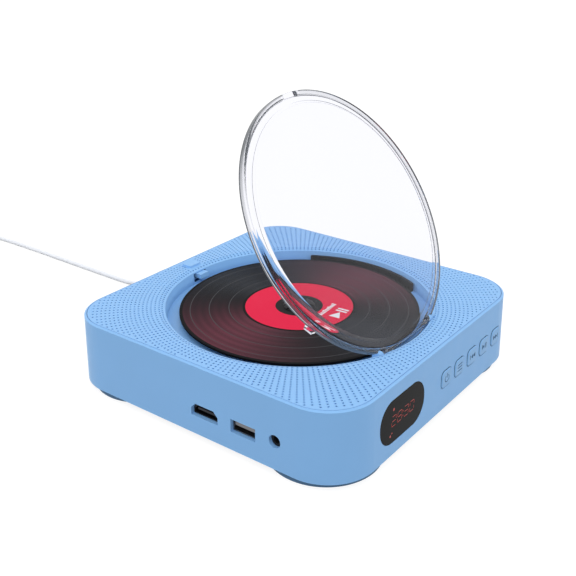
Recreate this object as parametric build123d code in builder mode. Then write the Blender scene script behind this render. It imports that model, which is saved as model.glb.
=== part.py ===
"""Wall-mounted CD player with a clear hinged lid.

Millimetres, +Z up. The origin is the centre of the square footprint, on the plane that the feet
rest on. +X is the side with the display and the buttons, -Y the side with the sockets and -X the
side with the power inlet. The lid hinges along Y near the +X side and is built closed, then
swung open about its hinge. The disc lies flat in a round well and turns about Z.
"""
from build123d import *

import os
from math import acos, atan2, cos, degrees, hypot, pi, radians, sin, sqrt, tan

# ---------------------------------------------------------------- driving dimensions
# Disc, and the round well round it
disc_radius = 60.0
disc_hole_radius = 7.5
disc_thickness = 1.2
disc_drop = 3.7               # disc face below the top of the case
finger_gap = 6.0              # from the edge of the disc to the foot of the well wall
well_flare = 0.8              # the well wall widens by this up to its neck
well_lip = 3.2                # width of the sloping lip round the neck
well_neck_drop = 1.2
well_depth = 7.5
well_wall = 1.4
well_floor = 1.6

# Moulded case, sized round the well and over the stack of the mechanism and the board
case_margin = 12.7            # from the rim of the well to the side of the case at the bottom
motor_room = 2.5              # between the main board and the spindle motor
case_draft = 1.65             # degrees, narrowing upward
case_corner = 24.2            # corner radius at the bottom
case_wall = 2.4
bevel_width = 1.0
bevel_drop = 0.6
seat_land = 0.1               # flat left on the rim between the bevel and the seat of the top plate
foot_height = 3.5
foot_radius = 26.0
foot_inset = 27.8             # from the side of the case to the centre of a foot
foot_groove_depth = 1.2
foot_groove_width = 6.0
foot_groove_radius = 16.0

# Top plate
plate_thickness = 2.2
plate_gap = 0.3               # dark line between the plate and the rim
scoop_length = 9.7            # finger scoop, outward from the neck of the well
scoop_depth = 1.5
scoop_width = 9.0

# Hub and turntable
turntable_radius = 14.5
turntable_thickness = 1.8
turntable_boss_radius = 4.0
turntable_boss_length = 3.4
hub_fit = 0.15
hub_rise = 1.0                # hub above the disc face
hub_claw_reach = 0.45
hub_claw_height = 0.7
hub_slit = 1.0
hub_tongue_half = 2.2
shaft_short = 1.6             # shaft end below the top of the hub
shaft_radius = 1.0

# Clear lid
lid_gap = 1.8                 # between the lid's edge and the foot of the well wall
lid_height = 3.4
lid_sink = 0.2                # lid face below the top of the case when closed
lid_plate = 1.6
lid_skirt = 2.0
lid_edge_round = 0.9
lid_open_angle = 57.0
hinge_inset = 2.9             # hinge axis inside the edge of the lid
hinge_rise = 0.63             # hinge axis above the bottom edge of the closed lid
hinge_y = 19.0
ear_radius = 2.3
ear_width = 4.0
lug_radius = 2.5
lug_width = 3.0
hinge_pin_radius = 1.0
hinge_pin_clearance = 0.05
tab_angle = -57.0
tab_width = 4.5
tab_drop = 2.6

# Lid switch plunger in the well wall
latch_y = -1.0
latch_width = 9.0
latch_height = 2.5
latch_top_drop = 2.1
latch_proud = 2.8             # tip of the plunger inside the foot of the well wall
latch_travel = 1.2
latch_stem_width = 8.0
latch_stem_depth = 2.6
latch_stem_length = 7.2
latch_switch_side = 6.0
latch_switch_height = 3.0
latch_switch_cap = 0.7        # height of the actuator, which starts the travel and a little below
bracket_thickness = 1.2
bracket_reach = 7.5

# Fits
running_gap = 0.3             # between pieces that move past each other
seat_gap = 0.2                # between pieces that only sit together
shaft_clearance = 0.04

# Display and buttons on the +X wall
display_inset = 47.2          # from the side of the case to the middle of the display
display_z = 20.2
display_width = 37.5
display_height = 21.2
display_corner = 10.0
display_flange = 1.5
display_flange_thickness = 1.0
module_depth = 5.6
module_width = 34.0
module_height = 17.0
display_fit = 0.15
button_count = 5
button_pitch = 13.0
button_inset = 26.7           # from the side of the case to the last button
button_z = 19.3
button_width = 9.6
button_height = 8.8
button_corner = 2.6
button_flange = 0.8
button_flange_thickness = 1.0
button_travel = 0.7
button_stem_radius = 1.6
button_stem_length = 0.7
button_edge_round = 0.6
button_board_height = 13.0
switch_side = 6.0
switch_depth = 3.5
switch_cap_radius = 1.7
switch_cap_length = 0.8

# Sockets on the -Y wall, and the power inlet on the -X wall
socket_recess = 0.4           # socket faces behind the outside of the wall
socket_wall = 0.5
hdmi_spacing = 22.0           # from the middle of the flat socket with cut corners to the next
hdmi_width = 15.0
hdmi_height = 5.5
hdmi_shoulder = 2.5
hdmi_length = 11.5
hdmi_tongue = 1.1
usb_spacing = 17.2            # from the middle of the rectangular socket to the jack
usb_width = 13.1
usb_height = 5.8
usb_length = 14.0
usb_tongue = 1.9
jack_inset = 34.3             # from the side of the case to the jack
jack_rise = 4.3               # axis above the main board
jack_nose_radius = 2.85
jack_bore_radius = 1.8
jack_bore_length = 12.0
jack_body_width = 11.0
jack_body_length = 13.0
inlet_y = 18.0
inlet_rise = 6.5              # axis above the main board
inlet_nose_radius = 3.9
inlet_bore_radius = 2.75
inlet_bore_length = 9.6
inlet_pin_radius = 1.0
inlet_body_width = 9.0
inlet_body_length = 11.5
inlet_nose_length = 2.4

# Bottom cover, fixings and main board
cover_thickness = 2.0
case_screw_x = 30.0
case_screw_inset = 3.24       # from the inside of the wall to the screw's axis
case_boss_radius = 3.6
case_boss_height = 5.5
case_screw_radius = 1.25
case_screw_head = 2.5
case_screw_head_height = 1.2
keyhole_x = 36.0
keyhole_spacing = 52.0
keyhole_radius = 4.5
keyhole_slot_radius = 2.1
keyhole_slot_length = 10.0
keyhole_head_room = 1.0       # round the head of the wall screw
keyhole_pocket_height = 3.0
keyhole_pocket_wall = 1.5
board_gap = 5.8               # underside of the board above the bottom cover
board_thickness = 1.6
board_post_radius = 3.0
board_screw_radius = 1.2
board_screw_head = 2.6
board_screw_head_height = 1.3
board_screw_length = 5.0
board_edge_gap = 1.0
board_arm_width = 29.0        # arm of the board behind the buttons
board_notch_y = 26.0          # the board is cut away from here to the back, beside that arm
post_inset = 13.0             # from the edges of the board to its corner posts
post_side_inset = 9.0
post_side_y = -6.0
post_back_inset = 23.0
rib_span = 100.0
rib_spacing = 24.0
rib_cross_spacing = 60.0
rib_thickness = 1.4
rib_height = 3.0

# Loudspeakers under the top plate
speaker_clearance = 1.15      # between the loudspeaker and the outside of the well wall
speaker_radius = 15.5
speaker_flange = 1.4
speaker_depth = 12.4
speaker_magnet_radius = 8.5
speaker_magnet_height = 4.6
speaker_ring_height = 2.0
speaker_ring_wall = 1.2

# Black mechanism cover in the floor of the well
mouth_half_width = 33.0
mouth_front_y = -30.0
cover_plate = 1.4
cover_flange = 1.6
cover_flange_reach = 6.0
cover_lap = 1.6
arc_wall = 1.2
arc_drop = 3.2                # top of the arc-shaped wall below the top of the case
hub_window_radius = 6.0
lens_window_side = 1.5        # window round the lens tower, at its sides and its two ends
lens_window_front_gap = 2.5
lens_window_back_gap = 0.9
cover_screw_inset = 3.2       # from the edge of the opening in the well floor
cover_screw_ys = (-10.0, 35.0)
cover_screw_radius = 0.9
cover_screw_head = 1.8
cover_screw_head_height = 0.8
cover_pad_radius = 2.4
cover_pad_height = 1.8

# Mechanism chassis on its dampers
chassis_drop = 1.0            # chassis plate below the flange of the mechanism cover
chassis_thickness = 2.0
chassis_side_gap = 0.22       # between the sled motor and the rim
chassis_front_gap = 14.8      # plate in front of the spindle motor
chassis_rim = 1.1
chassis_rim_depth = 3.0
damper_inset = 2.0            # damper axis outside the edge of the plate
damper_ys = (-22.0, 48.0)
damper_radius = 5.0
damper_waist_radius = 3.6
damper_lip = 2.0
damper_ear_radius = 6.5
spigot_radius = 1.9
mount_boss_radius = 3.2
mount_screw_radius = 1.0
mount_screw_head = 4.6
mount_screw_head_height = 1.4
mount_screw_length = 4.5

# Spindle motor
motor_radius = 12.2
motor_height = 9.0
motor_nose_radius = 3.0
motor_nose_height = 1.2
motor_shaft_depth = 8.0

# Pickup sled, its rods, rack and gear train
lens_home_gap = 4.0           # between the turntable and the lens tower
disc_edge_band = 2.5          # band at the edge of the disc that the lens does not reach
sled_length = 18.0
sled_front_gap = 1.5
sled_back_gap = 3.0
sled_height = 6.2
sled_gap = 0.4                # sled top below the flange of the mechanism cover
tower_radius = 5.5
tower_below_disc = 1.4
lens_radius = 2.9
lens_thickness = 0.8
rod_x = 18.0
rod_radius = 1.5
rod_drop = 0.9                # rod axis below the underside of the chassis plate
rod_hold = 3.0                # length of rod held in its block
rod_block_length = 4.0
rod_block_half = 2.2
sleeve_radius = 3.2
rack_module = 0.8
rack_line_gap = 1.3           # pitch line of the rack outside the sleeve, on the -X side
rack_back = 1.0
rack_height = 2.8
rack_overrun = 4.0
pinion_teeth = 12
pinion_mesh_gap = 0.08        # added to the centre distances
gear_offset = 9.0             # gear axis behind the lens at home
wheel_module = 0.5
wheel_teeth = 40
wheel_thickness = 1.8
driver_teeth = 10
driver_length = 2.2
gear_hub_radius = 2.4
gear_pin_radius = 1.0
gear_pin_head = 2.0
gear_pin_head_height = 0.7
sled_motor_radius = 6.0
sled_motor_height = 6.8
sled_shaft_radius = 0.75
sled_motor_offset = 3.3       # sled motor axis outside the gear axis, along X

# Power lead
cord_radius = 1.4
plug_radius = 4.4
plug_length = 15.0
plug_barrel_fit = 0.05
relief_length = 9.0
relief_root_radius = 3.0
relief_tip_radius = 1.9
coil_center = (-311.0, -5.0)
coil_turn_columns = 4
coil_turn_rows = 3
coil_mean_radius = 15.4
tie_width = 6.0
tie_thickness = 0.8
usb_plug_width = 16.0
usb_plug_thickness = 7.2
usb_plug_length = 22.0
usb_shell_width = 12.0
usb_shell_thickness = 4.5
usb_shell_length = 18.5

# ---------------------------------------------------------------- levels and derived sizes
case_bottom = foot_height
cover_top = case_bottom + cover_thickness
board_bottom = cover_top + board_gap
board_top = board_bottom + board_thickness
mechanism_height = motor_height + chassis_thickness + chassis_drop + cover_flange
case_top = board_top + motor_room + mechanism_height + well_floor + well_depth
case_height = case_top - case_bottom
draft_slope = tan(radians(case_draft))

well_foot_radius = disc_radius + finger_gap
well_neck_radius = well_foot_radius + well_flare
well_rim_radius = well_neck_radius + well_lip
well_outer_radius = well_neck_radius + well_wall
case_half = well_rim_radius + case_margin


def wall_outside(z):
    """Half width of the drafted wall's outside at height z."""
    return case_half - (z - case_bottom) * draft_slope


def wall_inside(z):
    """Half width of the drafted wall's inside at height z."""
    return wall_outside(z) - case_wall


top_half = wall_outside(case_top)
seat_half = top_half - bevel_width - seat_land
seat_corner = case_corner - (case_half - seat_half)
plate_half = seat_half - plate_gap
plate_corner = seat_corner - plate_gap
plate_bottom = case_top - plate_thickness
well_floor_top = case_top - well_depth
well_floor_bottom = well_floor_top - well_floor
cover_half = wall_inside(cover_top) - seat_gap
cover_corner = case_corner - case_wall - seat_gap
board_half = wall_inside(board_top) - board_edge_gap
post_edge = board_half - post_inset
board_posts = [
    (-post_edge, -post_edge),
    (post_edge, -post_edge),
    (post_side_inset - board_half, post_side_y),
    (board_half - board_arm_width / 2 - board_screw_head, board_half - post_back_inset),
]
case_screw_y = wall_inside(cover_top) - case_screw_inset
jack_x = case_half - jack_inset
usb_x = jack_x - usb_spacing
hdmi_x = usb_x - hdmi_spacing
jack_z = board_top + jack_rise
inlet_z = board_top + inlet_rise
display_y = display_inset - case_half
speaker_place = (well_outer_radius + speaker_radius + speaker_clearance) / sqrt(2)

disc_top = case_top - disc_drop
disc_bottom = disc_top - disc_thickness
turntable_bottom = disc_bottom - turntable_thickness
hub_radius = disc_hole_radius - hub_fit
hub_top = disc_top + hub_rise
shaft_top = hub_top - shaft_short

lid_radius = well_foot_radius - lid_gap
hinge_x = lid_radius - hinge_inset
lid_top = case_top - lid_sink
lid_rim = lid_top - lid_height
hinge_z = lid_rim + hinge_rise
lug_y = hinge_y + ear_width / 2 + running_gap + lug_width / 2
hinge_axis = Axis((hinge_x, 0, hinge_z), (0, 1, 0))

flange_bottom = well_floor_bottom - cover_flange
mouth_radius = well_foot_radius - running_gap
chassis_top = flange_bottom - chassis_drop
chassis_bottom = chassis_top - chassis_thickness
damper_bottom = chassis_bottom - damper_lip
damper_top = chassis_top + damper_lip
cover_screw_x = mouth_half_width + cover_screw_inset
cover_screw_places = [(side * cover_screw_x, y) for side in (-1, 1) for y in cover_screw_ys]
motor_bottom = chassis_bottom - motor_height

button_last_y = case_half - button_inset
button_ys = [button_last_y - index * button_pitch for index in reversed(range(button_count))]
button_face = case_half
button_flange_front = wall_inside(button_z + button_height / 2 + button_flange) - running_gap
button_back = button_flange_front - button_flange_thickness
stem_end = button_back - button_stem_length
switch_face = stem_end - button_travel - 0.1
button_board_face = switch_face - switch_cap_length - switch_depth
flange_top_z = display_z + display_height / 2 + display_flange
display_back = wall_inside(flange_top_z) - display_flange_thickness

lens_y = turntable_radius + lens_home_gap + tower_radius
lens_end_y = disc_radius - disc_edge_band
sled_travel = lens_end_y - lens_y
window_front = lens_y - sled_length / 2 - sled_front_gap
window_back = lens_end_y + sled_length / 2 + sled_back_gap
rod_front_y = window_front - rod_hold
rod_back_y = window_back + rod_hold
chassis_back_y = window_back + rod_block_length + 0.5
chassis_front_y = -motor_radius - chassis_front_gap
lens_window_half = tower_radius + lens_window_side
lens_window_front = lens_y - tower_radius - lens_window_front_gap
lens_window_back = lens_end_y + tower_radius + lens_window_back_gap

rod_z = chassis_bottom - rod_drop
sled_top = flange_bottom - sled_gap
sled_bottom = sled_top - sled_height
tower_top = disc_bottom - tower_below_disc
rack_line_x = rod_x + sleeve_radius + rack_line_gap
pinion_radius = rack_module * pinion_teeth / 2
wheel_radius = wheel_module * wheel_teeth / 2
driver_radius = wheel_module * driver_teeth / 2
gear_x = -(rack_line_x + pinion_radius + pinion_mesh_gap)
gear_y = lens_y + gear_offset
train_distance = wheel_radius + driver_radius + pinion_mesh_gap
sled_motor_x = gear_x - sled_motor_offset
sled_motor_y = gear_y - sqrt(train_distance**2 - sled_motor_offset**2)
train_angle = degrees(atan2(sled_motor_y - gear_y, sled_motor_x - gear_x))
rim_inside = sled_motor_radius + chassis_side_gap - sled_motor_x
chassis_half_width = rim_inside + chassis_rim
damper_x = chassis_half_width + damper_inset
damper_places = [(side * damper_x, y) for side in (-1, 1) for y in damper_ys]
pinion_top = chassis_bottom - 0.8
pinion_bottom = pinion_top - rack_height - 0.4
wheel_bottom = board_top + 1.7
wheel_top = wheel_bottom + wheel_thickness


# ---------------------------------------------------------------- shared outlines
def square(half, corner):
    """Sketch a rounded square of the case's family, by half width and corner radius."""
    return RectangleRounded(2 * half, 2 * half, corner)


def hdmi_outline(grow=0.0):
    """Sketch the socket's outline, its two upper corners cut off, grown by a clearance."""
    half = hdmi_width / 2 + grow
    low = -hdmi_height / 2 - grow
    high = hdmi_height / 2 + grow
    shoulder = hdmi_shoulder
    points = [(-half, low), (half, low), (half, high - shoulder), (half - shoulder, high)]
    points += [(-half + shoulder, high), (-half, high - shoulder)]
    return Polygon(*points, align=None)


def keyhole():
    """Sketch one keyhole: a round entry with a slot towards +X."""
    Circle(keyhole_radius)
    with Locations((keyhole_slot_length / 2, 0)):
        SlotCenterToCenter(keyhole_slot_length, 2 * keyhole_slot_radius)


def keyhole_pocket(half_width):
    """Sketch the outline of the pocket behind a keyhole, in which the screw's head slides."""
    with Locations((keyhole_slot_length / 2, 0)):
        SlotCenterToCenter(keyhole_slot_length, 2 * half_width)


def mouth(grow, half_width, front_y):
    """Sketch the opening in the well floor: a rectangle whose back edge is an arc."""
    Circle(mouth_radius + grow)
    depth = mouth_radius + 5 - front_y
    with Locations((0, front_y + depth / 2)):
        Rectangle(2 * half_width, depth, mode=Mode.INTERSECT)


def involute(angle):
    """Involute function of a pressure angle in radians."""
    return tan(angle) - angle


def tooth_points(module, teeth, addendum=1.0, slack=0.05):
    """Corners of one involute tooth that points along +X, thinned by slack at each flank."""
    pitch = module * teeth / 2
    base = pitch * cos(radians(20))
    root = pitch - 1.25 * module
    tip = pitch + addendum * module
    half_at_pitch = pi / (2 * teeth) - slack / pitch
    flank = []
    for step in range(4):
        radius = max(base, root) + (tip - max(base, root)) * step / 3
        half = half_at_pitch + involute(radians(20)) - involute(acos(base / radius))
        flank.append((radius * cos(half), radius * sin(half)))
    foot_half = atan2(flank[0][1], flank[0][0])
    foot = (0.9 * root * cos(foot_half), 0.9 * root * sin(foot_half))
    upper = [foot] + flank
    return [(x, -y) for x, y in upper] + upper[::-1]


def spur_gear(module, teeth, turn, addendum=1.0):
    """Sketch a spur gear with one tooth at the angle turn, in degrees."""
    Circle(module * (teeth / 2 - 1.25))
    with PolarLocations(0, teeth, start_angle=turn):
        Polygon(*tooth_points(module, teeth, addendum), align=None)


def cord_radii(points):
    """One arc radius for each corner of a cord's route, as large as its two runs allow."""
    radii = []
    for before, corner, after in zip(points, points[1:], points[2:]):
        run_in = Vector(*corner) - Vector(*before)
        run_out = Vector(*after) - Vector(*corner)
        turn = radians(run_in.get_angle(run_out))
        radii.append(0.45 * min(run_in.length, run_out.length) / tan(turn / 2))
    return radii


# ---------------------------------------------------------------- case
with BuildPart() as housing_shell:
    with BuildSketch(Plane.XY.offset(case_bottom)):
        square(case_half, case_corner)
    extrude(amount=case_height, taper=case_draft)
    rim_face = housing_shell.faces().sort_by(Axis.Z)[-1]
    chamfer(rim_face.edges(), length=bevel_width, length2=bevel_drop, reference=rim_face)
    with BuildSketch(Plane.XY.offset(case_bottom)):
        square(case_half - case_wall, case_corner - case_wall)
    extrude(amount=case_height, taper=case_draft, mode=Mode.SUBTRACT)
    with BuildSketch(Plane.XY.offset(plate_bottom)):
        square(seat_half, seat_corner)
    extrude(amount=plate_thickness, mode=Mode.SUBTRACT)
    # Screw bosses that grow out of the front and back walls
    with BuildSketch(Plane.XY.offset(cover_top)):
        with GridLocations(2 * case_screw_x, 2 * case_screw_y, 2, 2):
            Circle(case_boss_radius)
            Circle(case_screw_radius, mode=Mode.SUBTRACT)
    extrude(amount=case_boss_height)
    # Cut-outs for the sockets
    with BuildSketch(Plane.XZ.offset(case_half + 1)):
        with Locations((hdmi_x, board_top + seat_gap + hdmi_height / 2)):
            hdmi_outline(running_gap)
        with Locations((usb_x, board_top + usb_height / 2)):
            Rectangle(usb_width + 2 * running_gap, usb_height + 2 * running_gap)
        with Locations((jack_x, jack_z)):
            Circle(jack_nose_radius + seat_gap)
    extrude(amount=-(case_wall + 3), mode=Mode.SUBTRACT)
    # Display opening and button holes
    with BuildSketch(Plane.YZ.offset(case_half + 1)):
        with Locations((display_y, display_z)):
            RectangleRounded(display_width, display_height, display_corner)
        with Locations(*[(y, button_z) for y in button_ys]):
            RectangleRounded(
                button_width + 2 * running_gap,
                button_height + 2 * running_gap,
                button_corner + running_gap,
            )
    extrude(amount=-(case_wall + 3), mode=Mode.SUBTRACT)
    # Hole for the power inlet
    with BuildSketch(Plane.YZ.offset(-case_half - 1)):
        with Locations((inlet_y, inlet_z)):
            Circle(inlet_nose_radius + seat_gap)
    extrude(amount=case_wall + 3, mode=Mode.SUBTRACT)

with BuildPart() as top_grille:
    with BuildSketch(Plane.XY.offset(plate_bottom)):
        square(plate_half, plate_corner)
    extrude(amount=plate_thickness)
    with BuildSketch(Plane.XY.offset(well_floor_bottom)):
        Circle(well_outer_radius)
        with GridLocations(0, 2 * hinge_y + 2 * lug_width, 1, 2):
            with Locations((hinge_x, 0)):
                Rectangle(2 * (ear_radius + 2.8), ear_width + 2 * lug_width + 2)
    extrude(amount=plate_bottom - well_floor_bottom)
    with BuildSketch(Plane.XZ):
        with BuildLine():
            Polyline(
                (0, well_floor_top),
                (well_foot_radius, well_floor_top),
                (well_neck_radius, case_top - well_neck_drop),
                (well_rim_radius, case_top),
                (0, case_top),
                close=True,
            )
        make_face()
    revolve(axis=Axis.Z, mode=Mode.SUBTRACT)
    # Opening for the mechanism cover; its back edge follows the foot of the well wall
    with BuildSketch(Plane.XY.offset(well_floor_bottom)):
        mouth(running_gap, mouth_half_width + running_gap, mouth_front_y - running_gap)
    extrude(amount=well_floor, mode=Mode.SUBTRACT)
    # Pockets for the lid's ears, then the lugs that hold the hinge pins
    for side in (-1, 1):
        pocket_inner = hinge_y - ear_width / 2 - 2 * running_gap
        pocket_outer = lug_y + lug_width / 2 + running_gap
        with BuildSketch(Plane.XY.offset(well_floor_top)):
            with Locations((hinge_x, side * (pocket_inner + pocket_outer) / 2)):
                Rectangle(2 * (ear_radius + 0.5), pocket_outer - pocket_inner)
        extrude(amount=well_depth, mode=Mode.SUBTRACT)
        with BuildSketch(Plane.XZ.offset(-side * lug_y)):
            with Locations((hinge_x, hinge_z)):
                Circle(lug_radius)
            with Locations((hinge_x, (well_floor_bottom + hinge_z) / 2)):
                Rectangle(2 * lug_radius, hinge_z - well_floor_bottom)
            with Locations((hinge_x, hinge_z)):
                Circle(hinge_pin_radius + hinge_pin_clearance, mode=Mode.SUBTRACT)
        extrude(amount=lug_width / 2, both=True)
    # Pocket through the well wall for the lid switch plunger, and the shelf for its switch
    latch_top = case_top - latch_top_drop
    latch_pocket_bottom = latch_top - latch_height - latch_travel - 2 * running_gap
    with BuildSketch(Plane.XY.offset(latch_pocket_bottom)):
        with Locations((-well_neck_radius - 1.5, latch_y)):
            Rectangle(9, latch_width + 2 * running_gap)
    extrude(amount=latch_top + seat_gap - latch_pocket_bottom, mode=Mode.SUBTRACT)
    # Finger scoop that slopes down to the rim of the well
    with BuildSketch(Plane.XZ.offset(-latch_y)):
        Polygon(
            (-well_neck_radius - scoop_length, case_top),
            (-well_neck_radius, case_top),
            (-well_neck_radius, case_top - scoop_depth),
            align=None,
        )
    extrude(amount=scoop_width / 2, both=True, mode=Mode.SUBTRACT)
    # Rings that centre the loudspeakers
    with BuildSketch(Plane.XY.offset(plate_bottom - speaker_ring_height)):
        with Locations((-speaker_place, -speaker_place), (-speaker_place, speaker_place)):
            Circle(speaker_radius + running_gap + speaker_ring_wall)
            Circle(speaker_radius + running_gap, mode=Mode.SUBTRACT)
    extrude(amount=speaker_ring_height)
    # Pads on the floor for the cover screws, bosses and spigots for the dampers
    with BuildSketch(Plane.XY.offset(well_floor_top)):
        with Locations(*cover_screw_places):
            Circle(cover_pad_radius)
    extrude(amount=cover_pad_height)
    with BuildSketch(Plane.XY.offset(damper_top)):
        with Locations(*damper_places):
            Circle(mount_boss_radius)
    extrude(amount=well_floor_bottom - damper_top)
    with BuildSketch(Plane.XY.offset(damper_bottom + seat_gap)):
        with Locations(*damper_places):
            Circle(spigot_radius)
    extrude(amount=damper_top - damper_bottom - seat_gap)
    with BuildSketch(Plane.XY.offset(damper_bottom)):
        with Locations(*damper_places):
            Circle(mount_screw_radius)
    extrude(amount=mount_screw_length + seat_gap, mode=Mode.SUBTRACT)
    with BuildSketch(Plane.XY.offset(well_floor_bottom)):
        with Locations(*cover_screw_places):
            Circle(cover_screw_radius)
    extrude(amount=well_floor + cover_pad_height - 0.6, mode=Mode.SUBTRACT)

switch_shelf_z = latch_top - latch_height - latch_stem_length
latch_switch_top = switch_shelf_z - latch_travel - 0.3
latch_shelf = latch_switch_top - latch_switch_cap - latch_switch_height
stem_x = well_outer_radius + running_gap
latch_reach = well_foot_radius - latch_proud
with BuildPart() as switch_bracket:
    # Small angle screwed behind the well wall that carries the lid switch
    with BuildSketch(Plane.XZ.offset(-latch_y)):
        Polygon(
            (-stem_x - bracket_reach, latch_shelf - bracket_thickness),
            (-stem_x + 2 * bracket_thickness, latch_shelf - bracket_thickness),
            (-stem_x + 2 * bracket_thickness, well_floor_bottom),
            (-stem_x + bracket_thickness, well_floor_bottom),
            (-stem_x + bracket_thickness, latch_shelf),
            (-stem_x - bracket_reach, latch_shelf),
            align=None,
        )
    extrude(amount=latch_stem_width / 2, both=True)

with BuildPart() as lid_switch:
    with BuildSketch(Plane.XY.offset(latch_shelf)):
        with Locations((-stem_x - latch_switch_side / 2, latch_y)):
            Rectangle(latch_switch_side, latch_switch_side)
    extrude(amount=latch_switch_height)
    with BuildSketch(Plane.XY.offset(latch_shelf + latch_switch_height)):
        with Locations((-stem_x - latch_stem_depth / 2, latch_y)):
            Circle(latch_stem_depth / 2)
    extrude(amount=latch_switch_cap)

with BuildPart() as bottom_cover:
    with BuildSketch(Plane.XY.offset(case_bottom)):
        square(cover_half, cover_corner)
    extrude(amount=cover_thickness)
    # Pockets that close the keyholes towards the inside
    with BuildSketch(Plane.XY.offset(cover_top)):
        with GridLocations(0, keyhole_spacing, 1, 2):
            with Locations((keyhole_x, 0)):
                keyhole_pocket(keyhole_radius + keyhole_head_room + keyhole_pocket_wall)
    extrude(amount=keyhole_pocket_height + keyhole_pocket_wall)
    with BuildSketch(Plane.XY.offset(cover_top)):
        with GridLocations(0, keyhole_spacing, 1, 2):
            with Locations((keyhole_x, 0)):
                keyhole_pocket(keyhole_radius + keyhole_head_room)
    extrude(amount=keyhole_pocket_height, mode=Mode.SUBTRACT)
    with BuildSketch(Plane.XY.offset(case_bottom)):
        with GridLocations(0, keyhole_spacing, 1, 2):
            with Locations((keyhole_x, 0)):
                keyhole()
    extrude(amount=cover_thickness, mode=Mode.SUBTRACT)
    # Posts for the main board
    with BuildSketch(Plane.XY.offset(cover_top)):
        with Locations(*board_posts):
            Circle(board_post_radius)
    extrude(amount=board_gap)
    with BuildSketch(Plane.XY.offset(cover_top)):
        with Locations(*board_posts):
            Circle(board_screw_radius)
    extrude(amount=board_gap, mode=Mode.SUBTRACT)
    # Stiffening ribs across the free middle
    with BuildSketch(Plane.XY.offset(cover_top)):
        with GridLocations(0, rib_spacing, 1, 2):
            Rectangle(rib_span, rib_thickness)
        with GridLocations(rib_cross_spacing, 0, 2, 1):
            Rectangle(rib_thickness, rib_spacing)
    extrude(amount=rib_height)
    # Countersunk holes for the case screws
    with BuildSketch(Plane.XY.offset(case_bottom)):
        with GridLocations(2 * case_screw_x, 2 * case_screw_y, 2, 2):
            Circle(case_screw_radius + 0.15)
    extrude(amount=cover_thickness, mode=Mode.SUBTRACT)
    with BuildSketch(Plane.XY.offset(case_bottom)):
        with GridLocations(2 * case_screw_x, 2 * case_screw_y, 2, 2):
            Circle(case_screw_head + 0.15)
    extrude(amount=case_screw_head_height, mode=Mode.SUBTRACT)

foot_place = case_half - foot_inset
foot_names = ["foot_front_left", "foot_front_right", "foot_back_left", "foot_back_right"]
foot_places = [(x * foot_place, y * foot_place) for y in (-1, 1) for x in (-1, 1)]
feet = {}
for foot_name, (foot_x, foot_y) in zip(foot_names, foot_places):
    with BuildPart() as foot:
        with BuildSketch():
            with Locations((foot_x, foot_y)):
                Circle(foot_radius)
        extrude(amount=foot_height)
        with BuildSketch():
            with Locations((foot_x, foot_y)):
                Circle(foot_groove_radius + foot_groove_width / 2)
                Circle(foot_groove_radius - foot_groove_width / 2, mode=Mode.SUBTRACT)
        extrude(amount=foot_groove_depth, mode=Mode.SUBTRACT)
    feet[foot_name] = foot.part

with BuildPart() as case_screws:
    with GridLocations(2 * case_screw_x, 2 * case_screw_y, 2, 2):
        with Locations((0, 0, case_bottom)):
            Cylinder(
                case_screw_head,
                case_screw_head_height,
                align=(Align.CENTER, Align.CENTER, Align.MIN),
            )
        with Locations((0, 0, case_bottom + case_screw_head_height)):
            Cylinder(
                case_screw_radius,
                cover_thickness - case_screw_head_height + case_boss_height - 0.5,
                align=(Align.CENTER, Align.CENTER, Align.MIN),
            )

# ---------------------------------------------------------------- electronics
with BuildPart() as main_board:
    with BuildSketch(Plane.XY.offset(board_bottom)):
        square(board_half, cover_corner)
        with Locations((-board_arm_width, board_notch_y + board_half)):
            Rectangle(2 * board_half, 2 * board_half, mode=Mode.SUBTRACT)
        # Notch behind the display window
        with Locations((display_back - running_gap + case_wall, display_y)):
            notch_width = display_width + 2 * (display_flange + running_gap)
            Rectangle(2 * case_wall, notch_width, mode=Mode.SUBTRACT)
        with Locations(*board_posts):
            Circle(board_screw_radius + seat_gap, mode=Mode.SUBTRACT)
    extrude(amount=board_thickness)

with BuildPart() as board_screws:
    with Locations(*[(x, y, board_top) for x, y in board_posts]):
        Cylinder(
            board_screw_head,
            board_screw_head_height,
            align=(Align.CENTER, Align.CENTER, Align.MIN),
        )
        Cylinder(
            board_screw_radius,
            board_screw_length,
            align=(Align.CENTER, Align.CENTER, Align.MAX),
        )

socket_face = wall_outside(board_top + hdmi_height / 2) - socket_recess
with BuildPart() as hdmi_socket:
    with BuildSketch(Plane.XZ.offset(socket_face)):
        with Locations((hdmi_x, board_top + seat_gap + hdmi_height / 2)):
            hdmi_outline()
            hdmi_outline(-socket_wall)
    extrude(amount=-hdmi_length)
    with BuildSketch(Plane.XZ.offset(socket_face)):
        with Locations((hdmi_x, board_top + seat_gap + hdmi_height / 2)):
            hdmi_outline(-socket_wall)
    extrude(amount=-(hdmi_length - 2), mode=Mode.SUBTRACT)
    with BuildSketch(Plane.XZ.offset(socket_face - 0.8)):
        with Locations((hdmi_x, board_top + seat_gap + hdmi_height / 2 + 0.3)):
            Rectangle(hdmi_width - 2 * hdmi_shoulder, hdmi_tongue)
    extrude(amount=-(hdmi_length - 2))
    # Solder tails that lift the shell off the board
    with BuildSketch(Plane.XY.offset(board_top)):
        with Locations((hdmi_x, -socket_face + hdmi_length - 3)):
            with GridLocations(hdmi_width - 2, 0, 2, 1):
                Rectangle(1.5, 4.0)
    extrude(amount=seat_gap + socket_wall / 2)

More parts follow.
